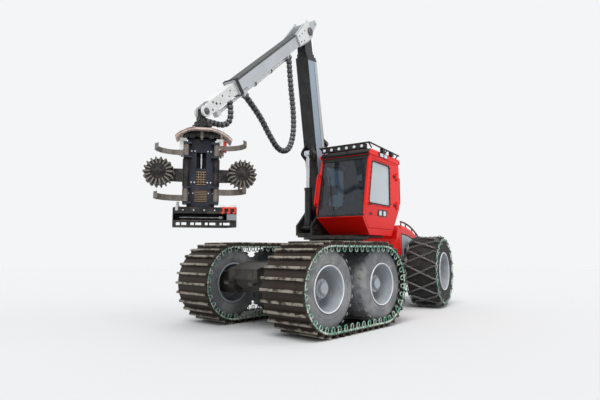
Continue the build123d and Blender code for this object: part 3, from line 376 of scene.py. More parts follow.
def line_tree(name, axis, pivot):
    """Sets a shape at equal steps along a line, turned with it, as plain faces of one finish."""
    tree = bpy.data.node_groups.new(name, "GeometryNodeTree")
    for label, kind in (
        ("Geometry", "NodeSocketGeometry"),
        ("Shape", "NodeSocketObject"),
        ("Count", "NodeSocketInt"),
        ("Finish", "NodeSocketMaterial"),
    ):
        tree.interface.new_socket(label, in_out="INPUT", socket_type=kind)
    tree.interface.new_socket("Geometry", in_out="OUTPUT", socket_type="NodeSocketGeometry")
    start = put(tree, "NodeGroupInput")
    line = put(tree, "GeometryNodeMeshToCurve", {"Mesh": start.outputs["Geometry"]})
    stepped = {"Curve": line.outputs[0], "Count": start.outputs["Count"]}
    steps = put(tree, "GeometryNodeResampleCurve", stepped)
    heading = put(tree, "GeometryNodeInputTangent")
    along = {"Vector": heading.outputs[0]}
    turn = put(tree, "FunctionNodeAlignRotationToVector", along, axis=axis, pivot_axis=pivot)
    shape = put(tree, "GeometryNodeObjectInfo", {"Object": start.outputs["Shape"]})
    row = put(
        tree,
        "GeometryNodeInstanceOnPoints",
        {"Points": steps.outputs[0], "Instance": shape.outputs["Geometry"], "Rotation": turn.outputs[0]},
    )
    real = put(tree, "GeometryNodeRealizeInstances", {"Geometry": row.outputs[0]})
    coated = {"Geometry": real.outputs[0], "Material": start.outputs["Finish"]}
    done = put(tree, "GeometryNodeSetMaterial", coated)
    put(tree, "NodeGroupOutput", {"Geometry": done.outputs[0]})
    return tree


UPRIGHT_LINE = line_tree("set along an upright line", "X", "Y")


def as_mesh(thing):
    """The evaluated shape of an object as a plain mesh."""
    seen = thing.evaluated_get(bpy.context.evaluated_depsgraph_get())
    return bpy.data.meshes.new_from_object(seen)


def row_of(shapes, path, closed, count, material, tree=UPRIGHT_LINE):
    """Like pieces at equal steps along a path, through a tree, as a plain mesh."""
    line = bpy.data.meshes.new("line")
    edges = [(i, i + 1) for i in range(len(path) - 1)]
    if closed:
        edges.append((len(path) - 1, 0))
    line.from_pydata(path, edges, [])
    carrier = stand("line", line)
    pattern = stand("pattern", joined(shapes))
    steps = carrier.modifiers.new("steps", "NODES")
    steps.node_group = tree
    given = {"Shape": pattern, "Count": count, "Finish": material}
    for item in tree.interface.items_tree:
        if item.name in given:
            steps[item.identifier] = given[item.name]
    mesh = as_mesh(carrier)
    carrier.modifiers.remove(steps)
    bpy.data.objects.remove(carrier)
    bpy.data.objects.remove(pattern)
    return mesh


def circle(radius, centre, count=96):
    """Path round a wheel, in the x-z plane, so that a set piece's top points outwards."""
    x, y, z = centre
    angles = [-2 * math.pi * i / count for i in range(count)]
    return [(x + radius * math.cos(a), y, z + radius * math.sin(a)) for a in angles]


def together(meshes):
    """Several meshes as one."""
    work = bmesh.new()
    for mesh in meshes:
        work.from_mesh(mesh)
    both = bpy.data.meshes.new("shape")
    work.to_mesh(both)
    work.free()
    both.set_sharp_from_angle(angle=math.radians(35))
    return both


def other_side(mesh):
    """Mirror image of a mesh for the other side of the machine, faces outwards."""
    twin = mesh.copy()
    twin.transform(Matrix.Scale(-1, 4, (0, 1, 0)))
    twin.flip_normals()
    return twin


def fit_wheels(pieces, label, side, place, body):
    """Fix wheel pieces, drawn for the left, to their side; some stand for solids of the frame."""
    for name, mesh, material, node in pieces:
        if side < 0:
            mesh = other_side(mesh)
        piece = fit(name + label, mesh, material, place, body + label)
        if node:
            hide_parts(node + label)


for label, side in SIDES:
    tyres = []
    rims = []
    lips = []
    for x in (-BOGIE_HALF, BOGIE_HALF):
        centre = (x, WHEEL_Y, AXLE_Z)
        tyres.append(joined([turned(TYRE_PROFILE, centre, sides=96)]))
        for y in (-215, -45, 125, 250):
            ring = circle(TREAD_R if abs(y) < WALL_Y else SHOULDER_R, (x, WHEEL_Y + y, AXLE_Z))
            tyres.append(row_of(TREAD_LUG, ring, True, TREAD_LUGS, tyre_rubber))
        spots = circle(232, centre, 12) + circle(124, (x, WHEEL_Y + 202, AXLE_Z), 10)
        rims.append(joined([turned(RIM_PROFILE, centre, sides=96), turned(HUB_PROFILE, centre)]))
        rims.append(joined([bolt(spot, (0, 1, 0), RIM_BOLT) for spot in spots]))
        lips.append(joined([turned(LIP_PROFILE, centre, sides=96)]))
    pieces = (
        ("front_tyres_", together(tyres), tyre_rubber, "front_tyres_"),
        ("front_rims_", together(rims), rim_enamel, "front_rims_"),
        ("rim_lips_", together(lips), rim_lip, None),
    )
    fit_wheels(pieces, label, side, FRONT, "bogie_")


# Tracks
# A loop of rolled steel shoes round both wheels of a bogie: rusty dark bars rubbed bright
# on their ridges, joined at each end by painted link plates and U-shaped tyre guides.
SHOE_LINE = 690.3
SHOES = 44
GUIDE_Y = 398.0
LINK_Y = GUIDE_Y * 1.055
RUST_DARK = "#18130f"
RUST_BROWN = "#3b2e24"
RIDGE_STEEL = "#9b958a"
RUST_GRAIN = 143.0
RUBBED_FROM = 0.725
RUBBED_FULL = 0.748
RAGGED = 0.035

# Rolled steel, brown and rough with rust in broad blotches; past 725 mm from the wheels'
# line a shoe's ridge is rubbed to bright metal, with a ragged edge.
track_steel = plain("rusty track steel", RUST_BROWN, Roughness=0.62, Metallic=0.35)
tree = track_steel.node_tree
place = put(tree, "ShaderNodeTexCoord").outputs["Object"]
middle = {"Vector": place, "Location": (-FRONT_AT[0] * MM, 0, -AXLE_Z * MM)}
centred = put(tree, "ShaderNodeMapping", middle)
split = put(tree, "ShaderNodeSeparateXYZ", {0: centred.outputs[0]})
far = put(tree, "ShaderNodeMath", {0: split.outputs["X"]}, operation="ABSOLUTE")
past = put(tree, "ShaderNodeMath", {0: far.outputs[0], 1: BOGIE_HALF * MM}, operation="SUBTRACT")
past = put(tree, "ShaderNodeMath", {0: past.outputs[0], 1: 0.0}, operation="MAXIMUM")
flat = put(tree, "ShaderNodeCombineXYZ", {"X": past.outputs[0], "Z": split.outputs["Z"]})
reach = put(tree, "ShaderNodeVectorMath", {0: flat.outputs[0]}, operation="LENGTH")
rust = put(
    tree,
    "ShaderNodeTexNoise",
    {"Vector": place, "Scale": 1 / (RUST_GRAIN * MM), "Detail": 8.0, "Roughness": 0.7},
).outputs[0]
jitter = put(
    tree,
    "ShaderNodeMapRange",
    {"Value": rust, "From Min": 0.3, "From Max": 0.7, "To Min": -RAGGED, "To Max": RAGGED},
)
worn = put(tree, "ShaderNodeMath", {0: reach.outputs["Value"], 1: jitter.outputs[0]}, operation="ADD")
ridge = put(
    tree,
    "ShaderNodeMapRange",
    {"Value": worn.outputs[0], "From Min": RUBBED_FROM, "From Max": RUBBED_FULL, "To Max": 0.85},
)
tones = {0: rust, 6: linear(RUST_DARK), 7: linear(RUST_BROWN)}
base = put(tree, "ShaderNodeMix", tones, data_type="RGBA")
tones = {0: ridge.outputs[0], 6: base.outputs[2], 7: linear(RIDGE_STEEL)}
rubbed = put(tree, "ShaderNodeMix", tones, data_type="RGBA")
pits = put(tree, "ShaderNodeBump", {"Height": rust, "Strength": 0.35, "Distance": 6 * MM})
shader = tree.nodes["Principled BSDF"]
tree.links.new(rubbed.outputs[2], shader.inputs["Base Color"])
tree.links.new(pits.outputs[0], shader.inputs["Normal"])
dress(track_steel, "track_left", "track_right")

# Green marking paint, chipped in small patches down to a pale filler.
link_paint = finish("chipped green link paint", "#4f8d7c", "#c9cbc0", 1.6, 0.55, patch=66.7)


def loop_path(inset, y):
    """Path along the track, this far inside its shoe line, top pointing outwards."""
    r = SHOE_LINE - inset
    path = []
    for end, start in ((BOGIE_HALF, math.pi / 2), (-BOGIE_HALF, -math.pi / 2)):
        for i in range(41):
            a = start - math.pi * i / 40
            path.append((end + r * math.cos(a), y, AXLE_Z + r * math.sin(a)))
    return path


def bent_bar(points, radius, sides=8):
    """Round bar bent through points in one upright plane."""
    return [rod(a, b, radius, sides) for a, b in zip(points, points[1:])]


GUIDE_BEND = [
    (-34, 0, -4), (-34, 0, -72), (-24, 0, -96), (0, 0, -104), (24, 0, -96), (34, 0, -72), (34, 0, -4)
]
GUIDE = bent_bar(GUIDE_BEND, 9)
LINK = [
    plate([(-70, -30), (-58, -46), (58, -46), (70, -30), (58, -12), (-58, -12)], -7, 7),
    rod((-54, -12, -29), (-54, 12, -29), 15, 12),
    rod((54, -12, -29), (54, 12, -29), 15, 12),
]
for label, side in SIDES:
    parts = []
    for end in (-1, 1):
        guide_path = loop_path(14, side * WHEEL_Y + end * GUIDE_Y)
        parts.append(row_of(GUIDE, guide_path, True, SHOES, link_paint))
        link_path = loop_path(0, side * WHEEL_Y + end * LINK_Y)
        parts.append(row_of(LINK, link_path, True, SHOES, link_paint))
    fit("track_links_" + label, together(parts), link_paint, FRONT, "bogie_" + label)


# Rear frame and engine
# The rear half of the chassis swings on the centre pin and carries a plain cast engine
# block; its welded plate has the same satin black paint as the front.
PIVOT_AT = (-745.84, 218.30, 0)
STEERED = 11
PIVOT_TO_FRONT = (1950, 0, 0)
REAR = (
    Matrix.Translation(PIVOT_AT)
    @ Matrix.Rotation(math.radians(STEERED), 4, "Z")
    @ Matrix.Translation(PIVOT_TO_FRONT)
)
REAR_FACE = -5330
dress(chassis, "rear_frame")
# Sand-cast iron: mid grey and matt, with dust in its hollows.
dress(finish("grey engine casting", "#4b4e50", DRY_DUST, 0.5, 0.6), "engine_block")

shapes = []
for x in (-4450, -4250, -4050, -3850, -3650):
    shapes.append(rod((x, -300, 1390), (x, 300, 1390), 46))
    shapes.append(box(x - 60, x + 60, -330, -342, 1150, 1300))
shapes += [rod((x, 120, 1400), (x, 120, 1520), 95) for x in (-4300, -3750)]
fit("engine_heads_and_filters", shapes, bolt_steel, REAR, "rear")

# Moulded red acrylic, clear and glossy, so that it stays bright under the dust.
tail_glass = finish("red tail lamp glass", "#9c0f12", "#5c564b", 0.25, 0.15, coat=0.6)
TAIL_GLASS = [(0, 0), (52, 0), (48, 14), (0, 20)]
TAIL_RING = [(52, -2), (66, -2), (66, 18), (52, 18)]
glasses = []
shapes = []
for y in (-450, 450):
    spot = (REAR_FACE, y, 905)
    glasses.append(turned(TAIL_GLASS, spot, (-1, 0, 0), 32))
    shapes.append(turned(TAIL_RING, spot, (-1, 0, 0), 32))
    shapes.append(box(REAR_FACE - 8, REAR_FACE, y - 90, y + 90, 700, 812))
shapes += [bolt((REAR_FACE, y, 1015), (-1, 0, 0), 15) for y in range(-240, 241, 80)]
fit("tail_lamp_glass", glasses, tail_glass, REAR, "rear")
fit("tail_lamp_rings_and_plates", shapes, chassis, REAR, "rear")


# Engine bay and hood
# An arched lid of pressed sheet in bright red machine enamel over light grey side panels
# with bolted louvre covers, a black edging between them and black rails on top.
MACHINE_RED = "#e8110a"
HOOD_X = -3374.0
HOOD_Z = -1412.0
HOOD_R = 3343.0
HOOD_BACK = -5188
HOOD_FRONT = -3304
EDGING_LIFT = (-226.0, -210.0)
COVER_Y = 652
# Baked machine enamel in a strong red, glossy and even, with only a thin haze of dust; the
# grey on the side panels is the same kind of paint under a thin clear coat.
red_enamel = finish(
    "bright red machine enamel", MACHINE_RED, "#7c3326", 0.1, 0.36, patch=400.0, shine=0.22
)
panel_enamel = finish("light grey panel enamel", "#a9b1b7", "#8b867b", 0.35, 0.35, coat=0.2)
# Moulded black plastic and powder-coated bar: near black with a soft sheen.
trim_black = finish("black moulded trim", "#141516", "#5f5a50", 0.3, 0.45)
dress(red_enamel, "hood", "front_cowl")
dress(panel_enamel, "engine_bay_panels")


def hood_spot(x, y, lift):
    """Point over the hood's arc at this station."""
    return (x, y, HOOD_Z + math.sqrt((HOOD_R + lift) ** 2 - (x - HOOD_X) ** 2))


def hood_strip(x0, x1, y0, y1, low, high, steps=24):
    """Strip that follows the hood's arc between two stations."""
    stations = [x0 + (x1 - x0) * i / steps for i in range(steps + 1)]
    top = [(x, hood_spot(x, 0, high)[2]) for x in stations]
    under = [(x, hood_spot(x, 0, low)[2]) for x in stations]
    return [plate([under[i], under[i + 1], top[i + 1], top[i]], y0, y1) for i in range(steps)]


shapes = []
for y in (-580, 580):
    stations = [-3450 - 1530 * i / 18 for i in range(19)]
    shapes += bent_bar([hood_spot(x, y, 90) for x in stations], 21, 12)
    for x in (-3464, -3820, -4300, -4640, -4966):
        shapes.append(rod(hood_spot(x, y, 88), hood_spot(x, y, -4), 14, 12))
        shapes.append(rod(hood_spot(x, y, 4), hood_spot(x, y, -6), 30, 16))
fit("hood_rails", shapes, trim_black, REAR, "hood")

shapes = []
for y0, y1 in ((-647, -639), (639, 647)):
    shapes += hood_strip(HOOD_BACK, HOOD_FRONT, y0, y1, *EDGING_LIFT)
    shapes.append(box(HOOD_BACK, HOOD_FRONT, y0, y1, 1068, 1086))
    shapes.append(box(HOOD_FRONT - 24, HOOD_FRONT, y0, y1, 1086, 1700))
fit("panel_edging", shapes, trim_black, REAR, "rear")

SIDE_SLAT = [box(-5, 5, -1, 6, -160, 160)]
louvres = []
heads = []
for side in (-1, 1):
    y = side * COVER_Y
    slat_y = y - 6 if side < 0 else y
    for x in (-3620, -4080, -4520):
        path = [(x, slat_y, 1205), (x, slat_y, 1375)]
        louvres.append(row_of(SIDE_SLAT, path, False, 8, trim_black))
        spots = [(x + dx, y, z) for dx in (-186, 186) for z in (1194, 1290, 1386)]
        heads += [bolt(spot, (0, side, 0), 8) for spot in spots]
fit("side_cover_louvres", together(louvres), trim_black, REAR, "rear")
fit("side_cover_bolts", heads, bolt_steel, REAR, "rear")

TOP_SLAT = [box(-7, 7, -330, 330, -4, 9)]
BACK_SLAT = [box(-8, 8, -420, 420, -3, 3)]
path = [hood_spot(-3560 - 520 * i / 12, 0, 2) for i in range(13)]
grille = row_of(TOP_SLAT, path, False, 15, trim_black)
sides = hood_strip(-4110, -3530, -352, -334, -2, 13, 10)
sides += hood_strip(-4110, -3530, 334, 352, -2, 13, 10)
fit("hood_grille", together([grille, joined(sides)]), trim_black, REAR, "hood")

path = [(-5192, 0, 1280), (-5192, 0, 1560)]
fit("rear_grille", row_of(BACK_SLAT, path, False, 9, trim_black), trim_black, REAR, "hood")


# Rear wheels
# Two large lugged tyres in black rubber, each under a net of worn steel chain that is held
# by green and white painted side links, on the same light grey enamelled rims.
REAR_AXLE = (-3900.0, 845.0)
REAR_TREAD_R = 784
REAR_WALL = [
    (446, 330), (458, 342), (486, 350), (500, 346), (560, 355), (650, 354), (724, 342),
    (764, 312), (780, 250), (REAR_TREAD_R, 0),
]
REAR_PROFILE = REAR_WALL + [(radius, -along) for radius, along in REAR_WALL[-2::-1]]
LUG_STEPS = 15
REAR_LUG = [(-34, 14), (34, 14), (104, 350), (26, 350)]
REAR_RIM = [
    (444, 345), (436, 353), (422, 353), (412, 344), (408, 250), (398, 90), (378, 20),
    (350, -2), (168, -6), (168, -42), (350, -42), (408, -80), (412, -345), (444, -345),
]
REAR_HUB = [(0, 232), (90, 232), (104, 222), (108, 192), (166, 188), (174, 180), (174, -6), (0, -6)]
REAR_LIP = [(radius + 72, along) for radius, along in LIP_PROFILE]
SIDE_CHAIN_R = 742
SIDE_CHAIN_Y = 356
NET_STEPS = 14
NET_LEAN = 0.2
NET_HALF = 354
NET_LINE = [(-NET_HALF, SIDE_CHAIN_R), (-350, 770), (-334, 800), (-290, 811), (0, 813)]
NET_LINE += [(-along, radius) for along, radius in NET_LINE[-2::-1]]
CHAIN_LINE = line_tree("set along a chain", "X", "AUTO")
# Newer rubber, still black and matt; the chain's drawn steel is rubbed grey and bright.
rear_rubber = finish("black lug tyre rubber", "#151516", "#4c4a45", 0.3, 0.7, low=0.12)
chain_steel = finish("worn chain steel", "#77787a", "#a8a49b", 0.5, 0.4, metal=0.6, patch=111.1)


def chain_link(middle, length, width, wire, upright):
    """Oval link of square-cornered wire, few-faced because hundreds are set."""
    points = []
    for i in range(10):
        a = 2 * math.pi * i / 10
        for grow, lift in ((-wire, 0), (0, wire), (wire, 0), (0, -wire)):
            x = middle + (length / 2 + grow) * math.cos(a)
            z = (width / 2 + grow) * math.sin(a)
            points.append((x, lift, z) if upright else (x, z, lift))
    return points, ring_faces(10, 4)


def net_line(centre, start, lean):
    """Path of one chain across the tread, from one side chain to the other."""
    x, y, z = centre
    path = []
    for along, radius in NET_LINE:
        a = start + lean * along / NET_HALF
        path.append((x + radius * math.cos(a), y + along, z + radius * math.sin(a)))
    return path


SIDE_LINKS = [chain_link(-38, 92, 46, 8, True), chain_link(38, 92, 40, 8, False)]
NET_LINKS = [chain_link(-26, 64, 34, 6.5, True), chain_link(26, 64, 34, 6.5, False)]
for label, side in SIDES:
    x, z = REAR_AXLE
    centre = (x, WHEEL_Y, z)
    heads = [bolt(spot, (0, 1, 0), 17) for spot in circle(250, (x, WHEEL_Y - 3, z), 12)]
    heads += [bolt(spot, (0, 1, 0), 14) for spot in circle(138, (x, WHEEL_Y + 188, z), 12)]
    rim = [joined([turned(REAR_RIM, centre, sides=96), turned(REAR_HUB, centre)]), joined(heads)]
    links = []
    for y in (WHEEL_Y - SIDE_CHAIN_Y, WHEEL_Y + SIDE_CHAIN_Y):
        links.append(row_of(SIDE_LINKS, circle(SIDE_CHAIN_R, (x, y, z)), True, 30, link_paint))
    net = []
    for i in range(NET_STEPS):
        for lean in (-NET_LEAN, NET_LEAN):
            path = net_line(centre, 2 * math.pi * i / NET_STEPS, lean)
            net.append(row_of(NET_LINKS, path, False, 9, chain_steel, CHAIN_LINE))
    tyre = [joined([turned(REAR_PROFILE, centre, sides=96)])]
    ring = circle(REAR_TREAD_R, centre, 12 * LUG_STEPS)
    other_lug = [(x, -y) for x, y in REAR_LUG]
    for outline, path in ((REAR_LUG, ring), (other_lug, ring[6:] + ring[:6])):
        tyre.append(row_of([slab(outline, -66, 18)], path, True, LUG_STEPS, rear_rubber))
    pieces = (
        ("rear_tyre_finish_", together(tyre), rear_rubber, "rear_tyre_"),
        ("rear_chain_net_", together(net), chain_steel, "rear_chain_"),
        ("rear_rim_finish_", together(rim), rim_enamel, "rear_rim_"),
        ("rear_rim_lip_", joined([turned(REAR_LIP, centre, sides=96)]), rim_lip, None),
        ("rear_chain_links_", together(links), link_paint, None),
    )
    fit_wheels(pieces, label, side, REAR, "rear_wheel_")


# Slewing platform and crane foot
# A steel deck on the ring carries the cab and the forked crane foot: black paint, brown
# with dust where boots and bark reach it.
SLEW_AT = (-145.84, 218.30, 0)
SLEWED = 8
SUPER = Matrix.Translation(SLEW_AT) @ Matrix.Rotation(math.radians(SLEWED), 4, "Z")
BOOM_Y = -480
CHEEK_Y = 205
dress(chassis, "slew_platform", "crane_base")
FOOT_CAP = [(0, 0), (74, 0), (74, 14), (60, 20), (0, 20)]
RAM_CAP = [(0, 0), (56, 0), (56, 12), (0, 12)]
shapes = []
for side in (-1, 1):
    for u, z in ((-430, 1700), (-430, 1780), (440, 1700), (440, 1780), (-250, 1700), (250, 1700)):
        shapes.append(bolt((u, BOOM_Y + side * 200, z), (0, side, 0), 17))
    shapes.append(turned(FOOT_CAP, (-170, BOOM_Y + side * CHEEK_Y, 2110), (0, side, 0), 40))
    shapes.append(turned(RAM_CAP, (330, BOOM_Y + side * CHEEK_Y, 1800), (0, side, 0), 32))
fit("crane_foot_pins_and_bolts", shapes, bolt_steel, SUPER, "upper")


# Cab
# A welded tube and sheet cab in the red enamel, with a black roof plate, a black strip at
# the foot of the windscreen and windows held in rubber by a row of dark bolts.
CAB_RIGHT = -220.0
CAB_LEFT = 900.0
CAB_TOP = 3420.0
SCREEN_FOOT = (480, 1990)
SCREEN_FALL = 280 / 1260
SIDE_PANE = [(-760, 2270), (275, 2270), (88, 3135), (-760, 3135)]
PANE_BOLTS = 34
BROW = [(222, 3254), (246, 3294), (136, 3378), (124, 3366), (214, 3290)]
dress(red_enamel, "cab_shell", "cab_roof", "cab_door", "cab_handrails")


def screen_u(z):
    """Front face of the cab at this height."""
    return SCREEN_FOOT[0] - SCREEN_FALL * (z - SCREEN_FOOT[1])


def screen_strip(z0, z1, out, back):
    """Section of a strip on the sloping front face, standing out and let in this far."""
    face = [(screen_u(z0) + out, z0), (screen_u(z1) + out, z1)]
    return face + [(screen_u(z1) - back, z1), (screen_u(z0) - back, z0)]


def rounded(outline, radius, steps=6):
    """A closed outline in x and z with its corners rounded."""
    path = []
    count = len(outline)
    for i in range(count):
        corner = Vector(outline[i])
        before = (Vector(outline[i - 1]) - corner).normalized()
        after = (Vector(outline[(i + 1) % count]) - corner).normalized()
        run = radius / math.tan(before.angle(after) / 2)
        start = corner + before * run
        end = corner + after * run
        for k in range(steps + 1):
            t = k / steps
            path.append(tuple((1 - t) ** 2 * start + 2 * t * (1 - t) * corner + t**2 * end))
    return path


def grown(outline, by):
    """The outline moved outwards by a margin, from its middle."""
    mid = sum((Vector(p) for p in outline), Vector((0, 0))) / len(outline)
    return [(x + (by if x > mid.x else -by), z + (by if z > mid.y else -by)) for x, z in outline]


# Extruded black rubber: near black and satin, with little dust on it.
seal_rubber = finish("black window rubber", "#0e0f10", "#55514a", 0.15, 0.5)
for label, side, face, body in (("left", 1, CAB_LEFT, "door"), ("right", -1, CAB_RIGHT, "upper")):
    seal = [(x, face - side * 3, z) for x, z in rounded(SIDE_PANE, 75)]
    fit("pane_rubber_" + label, bent_bar([*seal, seal[0]], 15), seal_rubber, SUPER, body)
    ring = [(x, face, z) for x, z in rounded(grown(SIDE_PANE, 34), 90)]
    screws = row_of([bolt((0, 0, 0), (0, side, 0), 11)], ring, True, PANE_BOLTS, trim_black)
    fit("pane_bolts_" + label, screws, trim_black, SUPER, body)

shapes = []
for z0, z1 in ((2000, 2042), (3170, 3252)):
    shapes.append(plate(screen_strip(z0, z1, 3, 8), CAB_RIGHT + 22, CAB_LEFT - 22))
for y0, y1 in ((CAB_RIGHT + 40, CAB_RIGHT + 66), (CAB_LEFT - 66, CAB_LEFT - 40)):
    shapes.append(plate(screen_strip(2010, 3230, 2, 9), y0, y1))
shapes.append(plate(BROW, CAB_RIGHT + 6, CAB_LEFT - 6))
fit("windscreen_rubber_and_brow", shapes, seal_rubber, SUPER, "upper")

front_fall = [(-205, CAB_TOP - 1), (125, CAB_TOP - 40), (127, CAB_TOP - 32), (-205, CAB_TOP + 7)]
shapes = [
    box(-1000, -205, -118, 798, CAB_TOP - 1, CAB_TOP + 7),
    plate(front_fall, -118, 798),
    box(-860, -420, 120, 560, CAB_TOP + 6, CAB_TOP + 34),
]
fit("roof_top_plate", shapes, trim_black, SUPER, "upper")
dress(trim_black, "roof_guard")

# Smoked safety glass: grey and see-through round the cab; the door's paler tone is painted sky
# reflection.
dark_glass = plain("smoked cab glass", "#7d8b98", Roughness=0.02, Transmission_Weight=0.95, IOR=1.45)
dress(dark_glass, "cab_glass")
# The door pane's pale base colour is a painted reflection of the sky, laid over plain glass.
glass_with_painted_sky = plain(
    "side glass with painted sky reflection", "#d9e1e6", Roughness=0.04, Transmission_Weight=0.4, IOR=1.5
)
dress(glass_with_painted_sky, "door_glass")

# Moulded lamp glass over a white reflector: bright, with a hard gloss.
lamp_glass = plain("white lamp glass", "#d3d8dc", Roughness=0.1, Coat_Weight=0.8)
DISH = [(0, 0), (34, 0), (34, 6), (26, 11), (0, 13)]
BEZEL = [(34, -6), (42, -6), (42, 14), (36, 16), (34, 8)]


def tile(u0, u1, z0, z1, y0, y1):
    """Upright plate with rounded corners, facing sideways."""
    return plate(rounded([(u0, z0), (u1, z0), (u1, z1), (u0, z1)], 18), y0, y1)


bezels = []
lamps = []
places = [((297, y, 3408), (1, 0, 0)) for y in (-90, 80, 255, 430, 605, 775)]
places += [((u, 925, 3410), (0, 1, 0)) for u in (-395, -845)]
for spot, axis in places:
    lamps.append(turned(DISH, spot, axis, 28))
    bezels.append(turned(BEZEL, spot, axis, 28))
for back, mount, face in ((919, 926, (925, 931)), (-246, -239, (-251, -245))):
    bezels.append(tile(-650, -170, 3258, 3352, back, mount))
    lamps += [tile(u, u + 150, 3270, 3340, *face) for u in (-600, -395)]
fit("roof_lamp_glass", lamps, lamp_glass, SUPER, "upper")
fit("roof_lamp_bezels", bezels, trim_black, SUPER, "upper")

DOOR_FOLD = 2230
DOOR_LEAN = 110 / 580


def low_tile(u0, u1, z0, z1, slant, out0, out1):
    """Lamp or plate let into the leaning lower panel of the door."""
    corners = rounded([(u0, z0), (u1, z0), (u1 + slant, z1), (u0 + slant, z1)], 16)
    back = [(u, CAB_LEFT - DOOR_LEAN * (DOOR_FOLD - z) + out0, z) for u, z in corners]
    return prism(back, (0, out1 - out0, 0))


shapes = [low_tile(-640, -170, 2030, 2165, 0, -6, 5), low_tile(70, 200, 2035, 2085, 0, -6, 4)]
fit("door_lamp_recess_and_vent", shapes, trim_black, SUPER, "door")
shapes = [low_tile(u, u + 120, 2050, 2145, 30, 3, 10) for u in (-590, -380)]
fit("door_lamp_glass", shapes, lamp_glass, SUPER, "door")


def on_screen(y, z, proud):
    """Spot on the windscreen, standing this far out."""
    return (screen_u(z) + proud, y, z)


shapes = bent_bar([on_screen(230, 2030, 14), on_screen(90, 2420, 10), on_screen(60, 2560, 8)], 9)
shapes += bent_bar([on_screen(170, 2150, 7), on_screen(20, 2860, 7)], 8)
shapes.append(box(screen_u(2030) - 4, screen_u(2030) + 26, 185, 275, 2005, 2050))
fit("wiper", shapes, trim_black, SUPER, "upper")

shapes = [box(u, u + 20, CAB_LEFT, CAB_LEFT + 30, 2225, 2272) for u in (205, 285)]
shapes.append(box(200, 310, CAB_LEFT + 24, CAB_LEFT + 36, 2234, 2262))
for z in (2310, 2950):
    shapes.append(box(-1080, -960, CAB_LEFT - 1, CAB_LEFT + 12, z - 26, z + 26))
    shapes += [bolt((u, CAB_LEFT + 12, z), (0, 1, 0), 10) for u in (-1050, -990)]
fit("door_handle_and_straps", shapes, trim_black, SUPER, "door")

shapes = bent_bar([on_screen(-195, 2290, 60), on_screen(-195, 2840, 60)], 12)
shapes += [rod(on_screen(-195, z, -2), on_screen(-195, z, 60), 12) for z in (2290, 2840)]
shapes.append(rod((-1355, 870, 2420), (-1355, 870, 2900), 11, 8))
fit("second_handrail_bars", shapes, red_enamel, SUPER, "upper")


# Seat and controls
# A sprung driver's seat in charcoal cloth with moulded armrests, a lever on each, a
# screen on the right pillar and the black floor console.
# Woven cloth, dark and fully matt; its threads are too fine to show, its wear isn't.
seat_cloth = finish("charcoal seat cloth", "#26282b", "#3d3c3a", 0.3, 0.9, patch=33.3)
dress(seat_cloth, "cab_seat")
dress(trim_black, "cab_console")
RIGHT_LINING = [(-1000, -64, 1714), (-1000, -167, 2226), (-1000, -159, 2226), (-1000, -56, 1714)]
BACK_LINING = [(-1240, -166, 2330), (-1240, 846, 2330), (-1040, 700, 1730), (-1040, -20, 1730)]
DOOR_LINING = [(-1090, 736, 1800), (-1090, 843, 2226), (-1090, 835, 2226), (-1090, 728, 1800)]
shapes = [
    box(-1020, 30, -58, 738, 1711, 1717),
    box(-1225, 135, -160, 840, 3236, 3246),
    prism(RIGHT_LINING, (1020, 0, 0)),
    prism(BACK_LINING, (10, 0, 6)),
    box(-1246, -1238, -166, 846, 3104, 3236),
    box(-1246, -1238, -166, -130, 2340, 3110),
    box(-1246, -1238, 806, 846, 2340, 3110),
    box(-1240, -770, -168, -160, 2230, 3240),
]
fit("cab_lining", shapes, trim_black, SUPER, "upper")
shapes = [prism(DOOR_LINING, (1180, 0, 0)), box(-1100, -775, 838, 846, 2230, 3180)]
fit("door_lining", shapes, trim_black, SUPER, "door")

KNOB = [(0, 0), (26, 0), (30, 40), (18, 66), (0, 70)]
WHEEL = [(0, 0), (150, 0), (158, 10), (150, 22), (0, 22)]
shapes = []
for y in (60, 620):
    shapes.append(rod((-290, y, 2338), (-270, y, 2440), 16))
    shapes.append(turned(KNOB, (-270, y, 2425), (0.1, 0, 1), 24))
    shapes.append(box(-380, -230, y - 36, y + 36, 2338, 2352))
shapes += [
    box(120, 142, -140, 120, 2480, 2680),
    rod((131, -60, 2480), (170, -140, 2300), 12),
    turned(WHEEL, (215, 340, 2135), (-0.6, 0, 1), 40),
    box(-930, -850, 200, 480, 2880, 3050),
]
fit("seat_controls_and_screen", shapes, trim_black, SUPER, "upper")


# Crane booms
# Welded box booms: the upright one black with a blue-grey side, the jib light grey with a
# darker top and the sliding tip white, all bare where a maker would put a name.
FOOT_PIN = (-170, BOOM_Y, 2110)
BOOM_UP = -80.25
ELBOW_PIN = (500, BOOM_Y, 6010)
JIB_DOWN = 40.25
BOOM = SUPER @ Matrix.Translation(FOOT_PIN) @ Matrix.Rotation(math.radians(BOOM_UP), 4, "Y")
JIB = SUPER @ Matrix.Translation(ELBOW_PIN) @ Matrix.Rotation(math.radians(JIB_DOWN), 4, "Y")
ELBOW_AT = 3957.1
TIP_AT = 3838.8
# Enamel over primed steel, satin to glossy, each with soil in patches half a metre wide
# or less; the wear strip is bare steel, dark and dull.
boom_black = finish("satin black boom enamel", "#101113", "#57534b", 0.2, 0.42, coat=0.15)
boom_side = finish("blue-grey boom enamel", "#8fa2b2", "#8b8a84", 0.3, 0.4, coat=0.15, patch=500.0)
jib_enamel = finish("light grey jib enamel", "#b4babf", "#8d8b84", 0.35, 0.4, coat=0.15, patch=500.0)
white_enamel = finish("white boom enamel", "#d9dbdc", "#a39b8e", 0.3, 0.36, coat=0.1, patch=333.3)
steel_top = finish("dark grey wear strip", "#3a3d40", "#77736a", 0.4, 0.5)
dress(boom_black, "main_boom", "lift_barrel")
dress(jib_enamel, "jib", "jib_barrel")
dress(white_enamel, "extension", "stroke_barrel")

# Hard chrome on ground steel: a clean mirror that no dust stays on.
chrome = plain("hard chrome rod", "#c6cacf", Metallic=1.0, Roughness=0.14)
dress(chrome, "lift_rod", "jib_rod")

